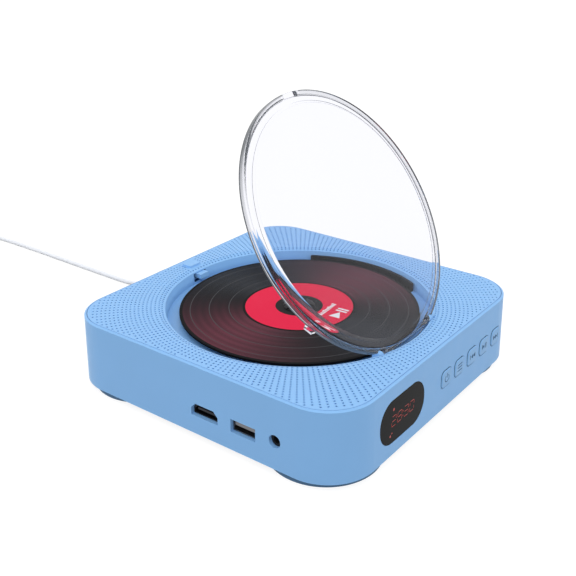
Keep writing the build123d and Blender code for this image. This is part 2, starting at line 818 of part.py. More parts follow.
with BuildPart() as usb_socket:
    with BuildSketch(Plane.XZ.offset(socket_face)):
        with Locations((usb_x, board_top + usb_height / 2)):
            Rectangle(usb_width, usb_height)
    extrude(amount=-usb_length)
    with BuildSketch(Plane.XZ.offset(socket_face)):
        with Locations((usb_x, board_top + usb_height / 2)):
            Rectangle(usb_width - 2 * socket_wall, usb_height - 2 * socket_wall)
    extrude(amount=-(usb_length - 2), mode=Mode.SUBTRACT)
    with BuildSketch(Plane.XZ.offset(socket_face - 0.8)):
        with Locations((usb_x, board_top + usb_height - socket_wall - 0.4 - usb_tongue / 2)):
            Rectangle(usb_width - 2 * socket_wall - 1.2, usb_tongue)
    extrude(amount=-(usb_length - 2))

jack_nose_length = case_wall
with BuildPart() as audio_jack:
    with BuildSketch(Plane.XZ.offset(socket_face)):
        with Locations((jack_x, jack_z)):
            Circle(jack_nose_radius)
    extrude(amount=-jack_nose_length - 1)
    with BuildSketch(Plane.XZ.offset(socket_face - jack_nose_length)):
        with Locations((jack_x, jack_z)):
            Rectangle(jack_body_width, 2 * (jack_z - board_top))
    extrude(amount=-jack_body_length)
    with BuildSketch(Plane.XZ.offset(socket_face)):
        with Locations((jack_x, jack_z)):
            Circle(jack_bore_radius)
    extrude(amount=-jack_bore_length, mode=Mode.SUBTRACT)

inlet_face = wall_outside(inlet_z) - socket_recess
with BuildPart() as power_inlet:
    with BuildSketch(Plane.YZ.offset(-inlet_face)):
        with Locations((inlet_y, inlet_z)):
            Circle(inlet_nose_radius)
    extrude(amount=inlet_nose_length + 1)
    with BuildSketch(Plane.YZ.offset(-inlet_face + inlet_nose_length)):
        with Locations((inlet_y, inlet_z)):
            Rectangle(inlet_body_width, 2 * (inlet_z - board_top))
    extrude(amount=inlet_body_length)
    with BuildSketch(Plane.YZ.offset(-inlet_face)):
        with Locations((inlet_y, inlet_z)):
            Circle(inlet_bore_radius)
    extrude(amount=inlet_bore_length, mode=Mode.SUBTRACT)
    with BuildSketch(Plane.YZ.offset(-inlet_face + 0.6)):
        with Locations((inlet_y, inlet_z)):
            Circle(inlet_pin_radius)
    extrude(amount=inlet_bore_length)

with BuildPart() as window_face:
    # Cut from the outer form of the case, so that its face is flush with the drafted wall
    with BuildSketch(Plane.XY.offset(case_bottom)):
        square(case_half, case_corner)
    extrude(amount=case_height, taper=case_draft)
    with BuildSketch(Plane.YZ.offset(display_back)):
        with Locations((display_y, display_z)):
            RectangleRounded(
                display_width - 2 * display_fit,
                display_height - 2 * display_fit,
                display_corner - display_fit,
            )
    extrude(amount=case_half, mode=Mode.INTERSECT)

with BuildPart() as display_window:
    # The flange's front follows the drafted inside of the wall
    with BuildSketch(Plane.XY.offset(case_bottom)):
        square(case_half - case_wall, case_corner - case_wall)
    extrude(amount=case_height, taper=case_draft)
    with BuildSketch(Plane.YZ.offset(display_back)):
        with Locations((display_y, display_z)):
            RectangleRounded(
                display_width + 2 * display_flange,
                display_height + 2 * display_flange,
                display_corner + display_flange,
            )
    extrude(amount=case_half, mode=Mode.INTERSECT)
    add(window_face.part)

with BuildPart() as display_module:
    with BuildSketch(Plane.YZ.offset(display_back - seat_gap)):
        with Locations((display_y, board_top + module_height / 2)):
            Rectangle(module_width, module_height)
    extrude(amount=-module_depth)

with BuildPart() as button_board:
    with BuildSketch(Plane.YZ.offset(button_board_face)):
        with Locations((sum(button_ys) / button_count, board_top + button_board_height / 2)):
            Rectangle(button_pitch * button_count, button_board_height)
    extrude(amount=-board_thickness)

with BuildPart() as tact_switches:
    with BuildSketch(Plane.YZ.offset(button_board_face)):
        with Locations(*[(y, button_z) for y in button_ys]):
            Rectangle(switch_side, switch_side)
    extrude(amount=switch_depth)
    with BuildSketch(Plane.YZ.offset(button_board_face + switch_depth)):
        with Locations(*[(y, button_z) for y in button_ys]):
            Circle(switch_cap_radius)
    extrude(amount=switch_cap_length)

button_names = ["button_power", "button_mode", "button_previous", "button_play", "button_next"]
buttons = {}
for button_name, button_y in zip(button_names, button_ys):
    with BuildPart() as button:
        with BuildSketch(Plane.YZ.offset(button_flange_front)):
            with Locations((button_y, button_z)):
                RectangleRounded(button_width, button_height, button_corner)
        extrude(amount=button_face - button_flange_front)
        fillet(button.faces().sort_by(Axis.X)[-1].edges(), radius=button_edge_round)
        with BuildSketch(Plane.YZ.offset(button_back)):
            with Locations((button_y, button_z)):
                RectangleRounded(
                    button_width + 2 * button_flange,
                    button_height + 2 * button_flange,
                    button_corner,
                )
        extrude(amount=button_flange_thickness)
        with BuildSketch(Plane.YZ.offset(stem_end)):
            with Locations((button_y, button_z)):
                Circle(button_stem_radius)
        extrude(amount=button_stem_length)
    buttons[button_name] = button.part


def speaker(place_y):
    """One loudspeaker, its dished cone upward, hung under the top plate."""
    with BuildPart() as body:
        with BuildSketch(Plane.XZ):
            with BuildLine():
                Polyline(
                    (0, plate_bottom - speaker_depth),
                    (speaker_magnet_radius, plate_bottom - speaker_depth),
                    (speaker_magnet_radius, plate_bottom - speaker_depth + speaker_magnet_height),
                    (speaker_radius - 2.5, plate_bottom - speaker_flange - 1.6),
                    (speaker_radius - 2.5, plate_bottom - speaker_flange),
                    (speaker_radius, plate_bottom - speaker_flange),
                    (speaker_radius, plate_bottom),
                    (speaker_radius - 2.0, plate_bottom),
                    (speaker_radius - 3.0, plate_bottom - 0.9),
                    (speaker_magnet_radius - 4.0, plate_bottom - 4.6),
                    (0, plate_bottom - 3.6),
                    close=True,
                )
            make_face()
        revolve(axis=Axis.Z)
    return body.part.moved(Location((-speaker_place, place_y, 0)))


# ---------------------------------------------------------------- disc and drive
with BuildPart() as disc:
    with BuildSketch(Plane.XY.offset(disc_bottom)):
        Circle(disc_radius)
        Circle(disc_hole_radius, mode=Mode.SUBTRACT)
    extrude(amount=disc_thickness)

with BuildPart() as turntable:
    claw_radius = disc_hole_radius + hub_claw_reach
    with BuildSketch(Plane.XZ):
        with BuildLine():
            Polyline(
                (0, turntable_bottom - turntable_boss_length),
                (turntable_boss_radius, turntable_bottom - turntable_boss_length),
                (turntable_boss_radius, turntable_bottom),
                (turntable_radius, turntable_bottom),
                (turntable_radius, disc_bottom),
                (hub_radius, disc_bottom),
                (hub_radius, hub_top - hub_claw_height),
                (claw_radius - 0.2, hub_top - hub_claw_height),
                (hub_radius - 1.2, hub_top),
                (0, hub_top),
                close=True,
            )
        make_face()
    revolve(axis=Axis.Z)
    # Slits that free three spring tongues in the hub
    with BuildSketch(Plane.XY.offset(disc_bottom)):
        with PolarLocations(hub_radius - 1.0, 3):
            with GridLocations(0, 2 * hub_tongue_half, 1, 2):
                Rectangle(3.4, hub_slit)
    extrude(amount=hub_top - disc_bottom, mode=Mode.SUBTRACT)
    with BuildSketch(Plane.XY.offset(turntable_bottom - turntable_boss_length)):
        Circle(shaft_radius)
    extrude(amount=shaft_top - turntable_bottom + turntable_boss_length, mode=Mode.SUBTRACT)

with BuildPart() as spindle_shaft:
    with BuildSketch(Plane.XY.offset(chassis_bottom - motor_shaft_depth)):
        Circle(shaft_radius)
    extrude(amount=shaft_top - chassis_bottom + motor_shaft_depth)

with BuildPart() as spindle_motor:
    with BuildSketch(Plane.XY.offset(motor_bottom)):
        Circle(motor_radius)
    extrude(amount=motor_height)
    with BuildSketch(Plane.XY.offset(chassis_bottom)):
        Circle(motor_nose_radius)
    extrude(amount=motor_nose_height)
    fillet(spindle_motor.faces().sort_by(Axis.Z)[0].edges(), radius=0.8)
    with BuildSketch(Plane.XY.offset(chassis_bottom - motor_shaft_depth - shaft_clearance)):
        Circle(shaft_radius + shaft_clearance)
    extrude(amount=motor_shaft_depth + motor_nose_height + 1, mode=Mode.SUBTRACT)

with BuildPart() as mechanism_cover:
    with BuildSketch(Plane.XY.offset(well_floor_bottom)):
        mouth(0, mouth_half_width, mouth_front_y)
    extrude(amount=cover_plate)
    with BuildSketch(Plane.XY.offset(flange_bottom)):
        mouth(
            cover_flange_reach - 4.5,
            mouth_half_width + cover_flange_reach,
            mouth_front_y - cover_flange_reach,
        )
    extrude(amount=cover_flange)
    with BuildSketch(Plane.XY.offset(flange_bottom)):
        mouth(-cover_lap, mouth_half_width - cover_lap, mouth_front_y + cover_lap)
    extrude(amount=cover_flange, mode=Mode.SUBTRACT)
    # Arc-shaped wall that stands up beside the disc
    with BuildSketch(Plane.XY.offset(well_floor_bottom)):
        mouth(0, mouth_half_width, 1)
        Circle(mouth_radius - arc_wall, mode=Mode.SUBTRACT)
    extrude(amount=case_top - arc_drop - well_floor_bottom)
    # Windows for the hub and for the travelling lens
    with BuildSketch(Plane.XY.offset(flange_bottom)):
        Circle(hub_window_radius)
        with Locations((0, (lens_window_front + lens_window_back) / 2)):
            Rectangle(2 * lens_window_half, lens_window_back - lens_window_front)
    extrude(amount=cover_flange + cover_plate, mode=Mode.SUBTRACT)
    with BuildSketch(Plane.XY.offset(flange_bottom)):
        with Locations(*cover_screw_places):
            Circle(cover_screw_radius + seat_gap)
        with Locations(*damper_places):
            Circle(damper_radius + running_gap)
    extrude(amount=cover_flange, mode=Mode.SUBTRACT)

with BuildPart() as cover_screws:
    with Locations(*[(x, y, flange_bottom) for x, y in cover_screw_places]):
        Cylinder(
            cover_screw_head,
            cover_screw_head_height,
            align=(Align.CENTER, Align.CENTER, Align.MAX),
        )
        Cylinder(
            cover_screw_radius,
            cover_flange + well_floor + cover_pad_height - 0.8,
            align=(Align.CENTER, Align.CENTER, Align.MIN),
        )

window_left = gear_x + gear_hub_radius - 0.4
window_split = -(rod_x + rod_block_half)
window_right = rod_x + rod_block_half + 1.3
rack_front_y = gear_y - sled_travel - rack_overrun
rack_back_y = gear_y + rack_overrun
with BuildPart() as mechanism_chassis:
    with BuildSketch(Plane.XY.offset(chassis_bottom)):
        with Locations((0, (chassis_front_y + chassis_back_y) / 2)):
            RectangleRounded(2 * chassis_half_width, chassis_back_y - chassis_front_y, 4.0)
        with Locations(*damper_places):
            Circle(damper_ear_radius)
    extrude(amount=chassis_thickness)
    with BuildSketch(Plane.XY.offset(chassis_bottom - chassis_rim_depth)):
        with Locations((0, (chassis_front_y + chassis_back_y) / 2)):
            RectangleRounded(2 * chassis_half_width, chassis_back_y - chassis_front_y, 4.0)
            RectangleRounded(
                2 * (chassis_half_width - chassis_rim),
                chassis_back_y - chassis_front_y - 2 * chassis_rim,
                4.0 - chassis_rim,
                mode=Mode.SUBTRACT,
            )
        with Locations(*damper_places):
            Circle(damper_radius + running_gap, mode=Mode.SUBTRACT)
    extrude(amount=chassis_rim_depth)
    # Window in which the sled, its rods and its rack travel
    with BuildSketch(Plane.XY.offset(chassis_bottom)):
        with Locations(((window_left + window_split) / 2, (rack_front_y + rod_back_y) / 2)):
            Rectangle(window_split - window_left, rod_back_y - rack_front_y + 2)
        with Locations(((window_split + window_right) / 2, (window_front + window_back) / 2)):
            Rectangle(window_right - window_split + 0.02, window_back - window_front)
    extrude(amount=chassis_thickness, mode=Mode.SUBTRACT)
    # Blocks that hold the ends of the rods
    with BuildSketch(Plane.XY.offset(rod_z - rod_radius - 0.8)):
        for block_y in (window_front - rod_block_length, window_back):
            with Locations((0, block_y + rod_block_length / 2)):
                with GridLocations(2 * rod_x, 0, 2, 1):
                    Rectangle(2 * rod_block_half, rod_block_length)
    extrude(amount=chassis_bottom - rod_z + rod_radius + 0.8)
    with BuildSketch(Plane.XZ.offset(-rod_front_y)):
        with Locations((-rod_x, rod_z), (rod_x, rod_z)):
            Circle(rod_radius)
    extrude(amount=-(rod_back_y - rod_front_y), mode=Mode.SUBTRACT)
    # Holes for the motor's nose, the gear pin and the dampers
    with BuildSketch(Plane.XY.offset(chassis_bottom)):
        Circle(motor_nose_radius)
        with Locations((gear_x, gear_y)):
            Circle(gear_pin_radius)
        with Locations(*damper_places):
            Circle(damper_waist_radius)
    extrude(amount=chassis_thickness, mode=Mode.SUBTRACT)

damper_names = [f"damper_{index + 1}" for index in range(len(damper_places))]
dampers = {}
for damper_name, damper_place in zip(damper_names, damper_places):
    with BuildPart() as damper:
        with BuildSketch(Plane.XZ):
            with BuildLine():
                Polyline(
                    (spigot_radius, damper_bottom),
                    (damper_radius, damper_bottom),
                    (damper_radius, chassis_bottom),
                    (damper_waist_radius, chassis_bottom),
                    (damper_waist_radius, chassis_top),
                    (damper_radius, chassis_top),
                    (damper_radius, damper_top),
                    (spigot_radius, damper_top),
                    close=True,
                )
            make_face()
        revolve(axis=Axis.Z)
    dampers[damper_name] = damper.part.moved(Location((*damper_place, 0)))

with BuildPart() as damper_screws:
    with Locations(*[(x, y, damper_bottom) for x, y in damper_places]):
        Cylinder(
            mount_screw_head,
            mount_screw_head_height,
            align=(Align.CENTER, Align.CENTER, Align.MAX),
        )
        Cylinder(
            mount_screw_radius,
            mount_screw_length,
            align=(Align.CENTER, Align.CENTER, Align.MIN),
        )

with BuildPart() as guide_rods:
    with BuildSketch(Plane.XZ.offset(-rod_front_y)):
        with Locations((-rod_x, rod_z), (rod_x, rod_z)):
            Circle(rod_radius)
    extrude(amount=-(rod_back_y - rod_front_y))

sled_front_y = lens_y - sled_length / 2
with BuildPart() as pickup_sled:
    sled_left = -rod_x
    sled_right = rod_x + rod_block_half
    with BuildSketch(Plane.XY.offset(sled_bottom)):
        with Locations(((sled_left + sled_right) / 2, lens_y)):
            Rectangle(sled_right - sled_left, sled_length)
    extrude(amount=sled_height)
    with BuildSketch(Plane.XZ.offset(-sled_front_y)):
        with Locations((-rod_x, rod_z)):
            Circle(sleeve_radius)
    extrude(amount=-sled_length)
    # Rack along the outer side of the sleeve
    rack_root_x = -(rack_line_x - 1.25 * rack_module)
    with BuildSketch(Plane.XY.offset(pinion_bottom + 0.2)):
        with Locations((rack_root_x + rack_back / 2, (rack_front_y + rack_back_y) / 2)):
            Rectangle(rack_back, rack_back_y - rack_front_y)
        rack_pitch = pi * rack_module
        tooth_half = rack_pitch / 4 - 0.05
        tip = 0.8 * rack_module
        root = 1.25 * rack_module
        slope = tan(radians(20))
        tooth_count = int((rack_back_y - rack_front_y) / rack_pitch) - 1
        first_tooth = gear_y - int((gear_y - rack_front_y) / rack_pitch - 0.5) * rack_pitch
        for index in range(tooth_count):
            with Locations((-rack_line_x, first_tooth + index * rack_pitch)):
                Polygon(
                    (-tip, -(tooth_half - tip * slope)),
                    (root, -(tooth_half + root * slope)),
                    (root, tooth_half + root * slope),
                    (-tip, tooth_half - tip * slope),
                    align=None,
                )
    extrude(amount=rack_height)
    # Tower for the lens
    with BuildSketch(Plane.XY.offset(sled_top)):
        with Locations((0, lens_y)):
            Circle(tower_radius)
    extrude(amount=tower_top - sled_top)
    with BuildSketch(Plane.XY.offset(tower_top - lens_thickness)):
        with Locations((0, lens_y)):
            Circle(lens_radius)
    extrude(amount=lens_thickness, mode=Mode.SUBTRACT)
    # Bore of the sleeve on the first rod, open slot on the second
    with BuildSketch(Plane.XZ.offset(-sled_front_y)):
        with Locations((-rod_x, rod_z)):
            Circle(rod_radius + shaft_clearance)
        with Locations((rod_x + 2, rod_z)):
            Rectangle(2 * rod_radius + 4, 2 * (rod_radius + 2 * shaft_clearance))
    extrude(amount=-sled_length, mode=Mode.SUBTRACT)

with BuildPart() as pickup_lens:
    with BuildSketch(Plane.XY.offset(tower_top - lens_thickness)):
        with Locations((0, lens_y)):
            Circle(lens_radius)
    extrude(amount=lens_thickness)
    fillet(pickup_lens.faces().sort_by(Axis.Z)[-1].edges(), radius=0.5)

with BuildPart() as sled_gear:
    with BuildSketch(Plane.XY.offset(pinion_bottom)):
        with Locations((gear_x, gear_y)):
            spur_gear(rack_module, pinion_teeth, 180 / pinion_teeth)
    extrude(amount=pinion_top - pinion_bottom)
    with BuildSketch(Plane.XY.offset(wheel_top)):
        with Locations((gear_x, gear_y)):
            Circle(gear_hub_radius)
    extrude(amount=pinion_bottom - wheel_top)
    with BuildSketch(Plane.XY.offset(wheel_bottom)):
        with Locations((gear_x, gear_y)):
            spur_gear(wheel_module, wheel_teeth, train_angle)
    extrude(amount=wheel_thickness)
    with BuildSketch(Plane.XY.offset(wheel_bottom)):
        with Locations((gear_x, gear_y)):
            Circle(gear_pin_radius + shaft_clearance)
    extrude(amount=pinion_top - wheel_bottom, mode=Mode.SUBTRACT)

with BuildPart() as gear_pin:
    with BuildSketch(Plane.XY.offset(wheel_bottom - 0.2 - gear_pin_head_height)):
        with Locations((gear_x, gear_y)):
            Circle(gear_pin_head)
    extrude(amount=gear_pin_head_height)
    with BuildSketch(Plane.XY.offset(wheel_bottom - 0.2)):
        with Locations((gear_x, gear_y)):
            Circle(gear_pin_radius)
    extrude(amount=chassis_top - wheel_bottom)

with BuildPart() as sled_motor:
    with BuildSketch(Plane.XY.offset(chassis_bottom - sled_motor_height)):
        with Locations((sled_motor_x, sled_motor_y)):
            Circle(sled_motor_radius)
    extrude(amount=sled_motor_height)
    with BuildSketch(Plane.XY.offset(chassis_bottom - sled_motor_height)):
        with Locations((sled_motor_x, sled_motor_y)):
            Circle(sled_shaft_radius + shaft_clearance)
    extrude(amount=sled_motor_height - 1, mode=Mode.SUBTRACT)

with BuildPart() as sled_pinion:
    with BuildSketch(Plane.XY.offset(wheel_bottom - 0.2)):
        with Locations((sled_motor_x, sled_motor_y)):
            spur_gear(wheel_module, driver_teeth, train_angle + 180 + 180 / driver_teeth)
    extrude(amount=driver_length)
    with BuildSketch(Plane.XY.offset(wheel_bottom - 0.2 + driver_length)):
        with Locations((sled_motor_x, sled_motor_y)):
            Circle(sled_shaft_radius)
    extrude(amount=chassis_bottom - 1.5 - wheel_bottom + 0.2 - driver_length)

# ---------------------------------------------------------------- lid and its switch
with BuildPart() as lid:
    with BuildSketch(Plane.XZ):
        with BuildLine():
            Polyline(
                (0, lid_top - lid_plate),
                (lid_radius - lid_skirt, lid_top - lid_plate),
                (lid_radius - lid_skirt, lid_rim),
                (lid_radius, lid_rim),
                (lid_radius, lid_top),
                (0, lid_top),
                close=True,
            )
        make_face()
    revolve(axis=Axis.Z)
    fillet(lid.edges().sort_by(Axis.Z)[-1], radius=lid_edge_round)
    # Ears round the hinge axis
    for side in (-1, 1):
        with BuildSketch(Plane.XZ.offset(-side * hinge_y)):
            with Locations((hinge_x, hinge_z)):
                Circle(ear_radius)
        extrude(amount=ear_width / 2, both=True)
        with BuildSketch(Plane.XY.offset(lid_rim - 1)):
            with Locations((hinge_x - lug_radius - running_gap + 5, side * lug_y)):
                Rectangle(10, lug_width + 2 * running_gap)
        extrude(amount=lid_height + 2, mode=Mode.SUBTRACT)
    with BuildSketch(Plane.XZ.offset(hinge_y + ear_width)):
        with Locations((hinge_x, hinge_z)):
            Circle(hinge_pin_radius)
    extrude(amount=-2 * (hinge_y + ear_width), mode=Mode.SUBTRACT)
    # Notch that passes over the switch plunger
    with BuildSketch(Plane.XY.offset(lid_rim)):
        with Locations((-lid_radius, latch_y)):
            Rectangle(2 * (lid_skirt + 0.6), latch_width + 4 * running_gap)
    extrude(amount=latch_top + 2 * running_gap - lid_rim, mode=Mode.SUBTRACT)
    # Small tab under the rim
    with BuildSketch(Plane.XY.offset(lid_rim - tab_drop)):
        with PolarLocations(lid_radius - lid_skirt / 2, 1, start_angle=tab_angle):
            Rectangle(lid_skirt, tab_width)
    extrude(amount=tab_drop)

pin_length = ear_width + running_gap + lug_width
with BuildPart() as hinge_pins:
    for side in (-1, 1):
        pin_middle = hinge_y - ear_width / 2 + pin_length / 2
        with BuildSketch(Plane.XZ.offset(-side * pin_middle)):
            with Locations((hinge_x, hinge_z)):
                Circle(hinge_pin_radius)
        extrude(amount=pin_length / 2, both=True)

with BuildPart() as switch_plunger:
    head_back = stem_x + latch_stem_depth / 2
    with BuildSketch(Plane.XY.offset(latch_top - latch_height)):
        with Locations((-(latch_reach + head_back) / 2, latch_y)):
            Rectangle(head_back - latch_reach, latch_width)
    extrude(amount=latch_height)
    with BuildSketch(Plane.XY.offset(switch_shelf_z)):
        with Locations((-stem_x - latch_stem_depth / 2, latch_y)):
            Rectangle(latch_stem_depth, latch_stem_width)
    extrude(amount=plate_bottom - running_gap - switch_shelf_z)

# ---------------------------------------------------------------- power lead
plug_face = wall_outside(inlet_z) + running_gap
relief_start = plug_face + plug_length
cord_start = relief_start + relief_length
inlet_axis = Plane(origin=(-plug_face, inlet_y, inlet_z), x_dir=(0, 1, 0), z_dir=(-1, 0, 0))

with BuildPart() as power_plug:
    with BuildSketch(inlet_axis):
        Circle(plug_radius)
    extrude(amount=plug_length)
    chamfer(power_plug.faces().sort_by(Axis.X)[0].edges(), length=1.0)
    with BuildSketch(inlet_axis):
        Circle(inlet_bore_radius - plug_barrel_fit)
        Circle(inlet_pin_radius + plug_barrel_fit, mode=Mode.SUBTRACT)
    extrude(amount=-(plug_face - inlet_face + inlet_bore_length - 0.4))

with BuildPart() as strain_relief:
    with BuildSketch(inlet_axis.offset(plug_length)):
        Circle(relief_root_radius)
    with BuildSketch(inlet_axis.offset(plug_length + relief_length)):
        Circle(relief_tip_radius)
    loft()

floor_z = cord_radius + 0.05
cord_route = [
    (-cord_start, inlet_y, inlet_z),
    (-115.0, inlet_y, inlet_z),
    (-127.0, 18.0, 12.4),
    (-138.0, 18.0, 4.8),
    (-151.0, 18.0, floor_z),
    (-172.0, 18.05, floor_z),
    (-205.0, 18.2, floor_z),
    (-250.0, 18.5, floor_z),
    (-288.0, 16.0, floor_z),
    (-308.0, 10.8, floor_z),
]
tail_height = usb_plug_thickness / 2
tail_route = [
    (-326.3, -5.0, tail_height + 0.6),
    (-326.2, -22.0, tail_height + 0.4),
    (-325.6, -40.0, tail_height),
    (-325.6, -56.0, tail_height),
]


def cord_tube(route):
    """Straight runs of cord joined by tangent arcs; prints the radii and the length."""
    radii = cord_radii(route)
    with BuildPart() as tube:
        with BuildLine() as path:
            FilletPolyline(*route, radius=radii)
        first_run = Vector(*route[1]) - Vector(*route[0])
        with BuildSketch(Plane(origin=route[0], z_dir=first_run)):
            Circle(cord_radius)
        sweep(path=path.wires()[0])
    length = path.wires()[0].length
    print("cord radii", [round(radius, 1) for radius in radii], "length", round(length, 1))
    print("tube volume over section times length", tube.part.volume / (pi * cord_radius**2 * length))
    return tube.part


bundle_width = 2 * cord_radius * coil_turn_columns
bundle_height = 2 * cord_radius * coil_turn_rows
with BuildPart() as cord_coil:
    with BuildSketch(Plane.XZ):
        with Locations((coil_mean_radius, bundle_height / 2)):
            RectangleRounded(bundle_width, bundle_height, cord_radius)
    revolve(axis=Axis.Z)
    # Groove that the tie pinches into the bundle
    with BuildSketch(Plane.YZ.offset(-tie_width / 2)):
        with Locations((-coil_mean_radius, bundle_height / 2)):
            Rectangle(bundle_width + 2, bundle_height + 2)
            RectangleRounded(
                bundle_width - 2 * tie_thickness,
                bundle_height - 2 * tie_thickness,
                cord_radius,
                mode=Mode.SUBTRACT,
            )
    extrude(amount=tie_width, mode=Mode.SUBTRACT)

with BuildPart() as cord_tie:
    with BuildSketch(Plane.YZ.offset(-tie_width / 2)):
        with Locations((-coil_mean_radius, bundle_height / 2)):
            RectangleRounded(bundle_width, bundle_height, cord_radius)
            RectangleRounded(
                bundle_width - 2 * tie_thickness,
                bundle_height - 2 * tie_thickness,
                cord_radius,
                mode=Mode.SUBTRACT,
            )
    extrude(amount=tie_width)

usb_axis = Plane(origin=tail_route[-1], x_dir=(1, 0, 0), z_dir=(0, -1, 0))
with BuildPart() as usb_plug:
    with BuildSketch(usb_axis):
        Circle(relief_tip_radius)
    with BuildSketch(usb_axis.offset(relief_length)):
        Circle(relief_root_radius)
    loft()
    with BuildSketch(usb_axis.offset(relief_length)):
        RectangleRounded(usb_plug_width, usb_plug_thickness, 1.6)
    extrude(amount=usb_plug_length)

with BuildPart() as usb_plug_shell:
    with BuildSketch(usb_axis.offset(relief_length + usb_plug_length)):
        Rectangle(usb_shell_width, usb_shell_thickness)
        with Locations((0, 0.5)):
            Rectangle(usb_shell_width - 0.8, usb_shell_thickness - 2.2, mode=Mode.SUBTRACT)
    extrude(amount=usb_shell_length)

# ---------------------------------------------------------------- write every piece
coil_place = Location((*coil_center, 0))
pieces = {
    "housing_shell": housing_shell.part,
    "top_grille": top_grille.part,
    "bottom_cover": bottom_cover.part,
    **feet,
    "case_screws": case_screws.part,
    "main_board": main_board.part,
    "board_screws": board_screws.part,
    "hdmi_socket": hdmi_socket.part,
    "usb_socket": usb_socket.part,
    "audio_jack": audio_jack.part,
    "power_inlet": power_inlet.part,
    "display_window": display_window.part,
    "display_module": display_module.part,
    "button_board": button_board.part,
    "tact_switches": tact_switches.part,
    **buttons,
    "speaker_front": speaker(-speaker_place),
    "speaker_back": speaker(speaker_place),
    "disc": disc.part,
    "turntable": turntable.part,
    "spindle_shaft": spindle_shaft.part,
    "spindle_motor": spindle_motor.part,
    "mechanism_cover": mechanism_cover.part,
    "cover_screws": cover_screws.part,
    "mechanism_chassis": mechanism_chassis.part,
    **dampers,
    "damper_screws": damper_screws.part,
    "guide_rods": guide_rods.part,
    "pickup_sled": pickup_sled.part,
    "pickup_lens": pickup_lens.part,
    "sled_gear": sled_gear.part,
    "gear_pin": gear_pin.part,
    "sled_motor": sled_motor.part,
    "sled_pinion": sled_pinion.part,
    "lid": lid.part.rotate(hinge_axis, lid_open_angle),
    "hinge_pins": hinge_pins.part,
    "switch_plunger": switch_plunger.part,
    "switch_bracket": switch_bracket.part,
    "lid_switch": lid_switch.part,
    "power_plug": power_plug.part,
    "strain_relief": strain_relief.part,
    "power_cord": cord_tube(cord_route),
    "cord_coil": cord_coil.part.moved(coil_place),
    "cord_tie": cord_tie.part.moved(coil_place),
    "power_cord_tail": cord_tube(tail_route),
    "usb_plug": usb_plug.part,
    "usb_plug_shell": usb_plug_shell.part,
}

os.makedirs("parts", exist_ok=True)
for name, piece in pieces.items():
    piece.label = name
    export_step(piece, f"parts/{name}.step")
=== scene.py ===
from math import cos, hypot, pi, radians, sin

import bmesh
import bpy
from mathutils import Matrix, Vector


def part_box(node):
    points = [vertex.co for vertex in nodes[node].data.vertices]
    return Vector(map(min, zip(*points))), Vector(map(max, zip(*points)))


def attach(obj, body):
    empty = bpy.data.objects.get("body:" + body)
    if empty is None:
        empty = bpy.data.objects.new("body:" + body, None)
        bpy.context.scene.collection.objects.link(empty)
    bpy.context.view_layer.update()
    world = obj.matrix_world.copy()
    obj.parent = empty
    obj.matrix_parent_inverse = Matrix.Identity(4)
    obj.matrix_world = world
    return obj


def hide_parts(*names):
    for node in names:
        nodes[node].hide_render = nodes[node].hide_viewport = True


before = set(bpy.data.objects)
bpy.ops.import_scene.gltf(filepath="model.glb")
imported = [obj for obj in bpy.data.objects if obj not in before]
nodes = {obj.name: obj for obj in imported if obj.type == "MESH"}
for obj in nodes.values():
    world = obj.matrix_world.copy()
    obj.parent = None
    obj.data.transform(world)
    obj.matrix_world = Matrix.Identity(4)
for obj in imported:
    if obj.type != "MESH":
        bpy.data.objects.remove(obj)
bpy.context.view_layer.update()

MM = 0.001

# ---------------------------------------------------------------- camera fitted to the photograph
eye = Vector((0.2382, -0.3223, 0.2268))
aim = Vector((-0.03999, 0.04372, 0.0172))
roll = radians(-0.217)
camera_data = bpy.data.cameras.new("camera")
camera_data.sensor_width = 36.0
camera_data.lens = 54.99
camera = bpy.data.objects.new("camera", camera_data)
bpy.context.scene.collection.objects.link(camera)
turn = (aim - eye).to_track_quat("-Z", "Y").to_matrix().to_4x4()
camera.matrix_world = Matrix.Translation(eye) @ turn @ Matrix.Rotation(roll, 4, "Z")
bpy.context.scene.camera = camera


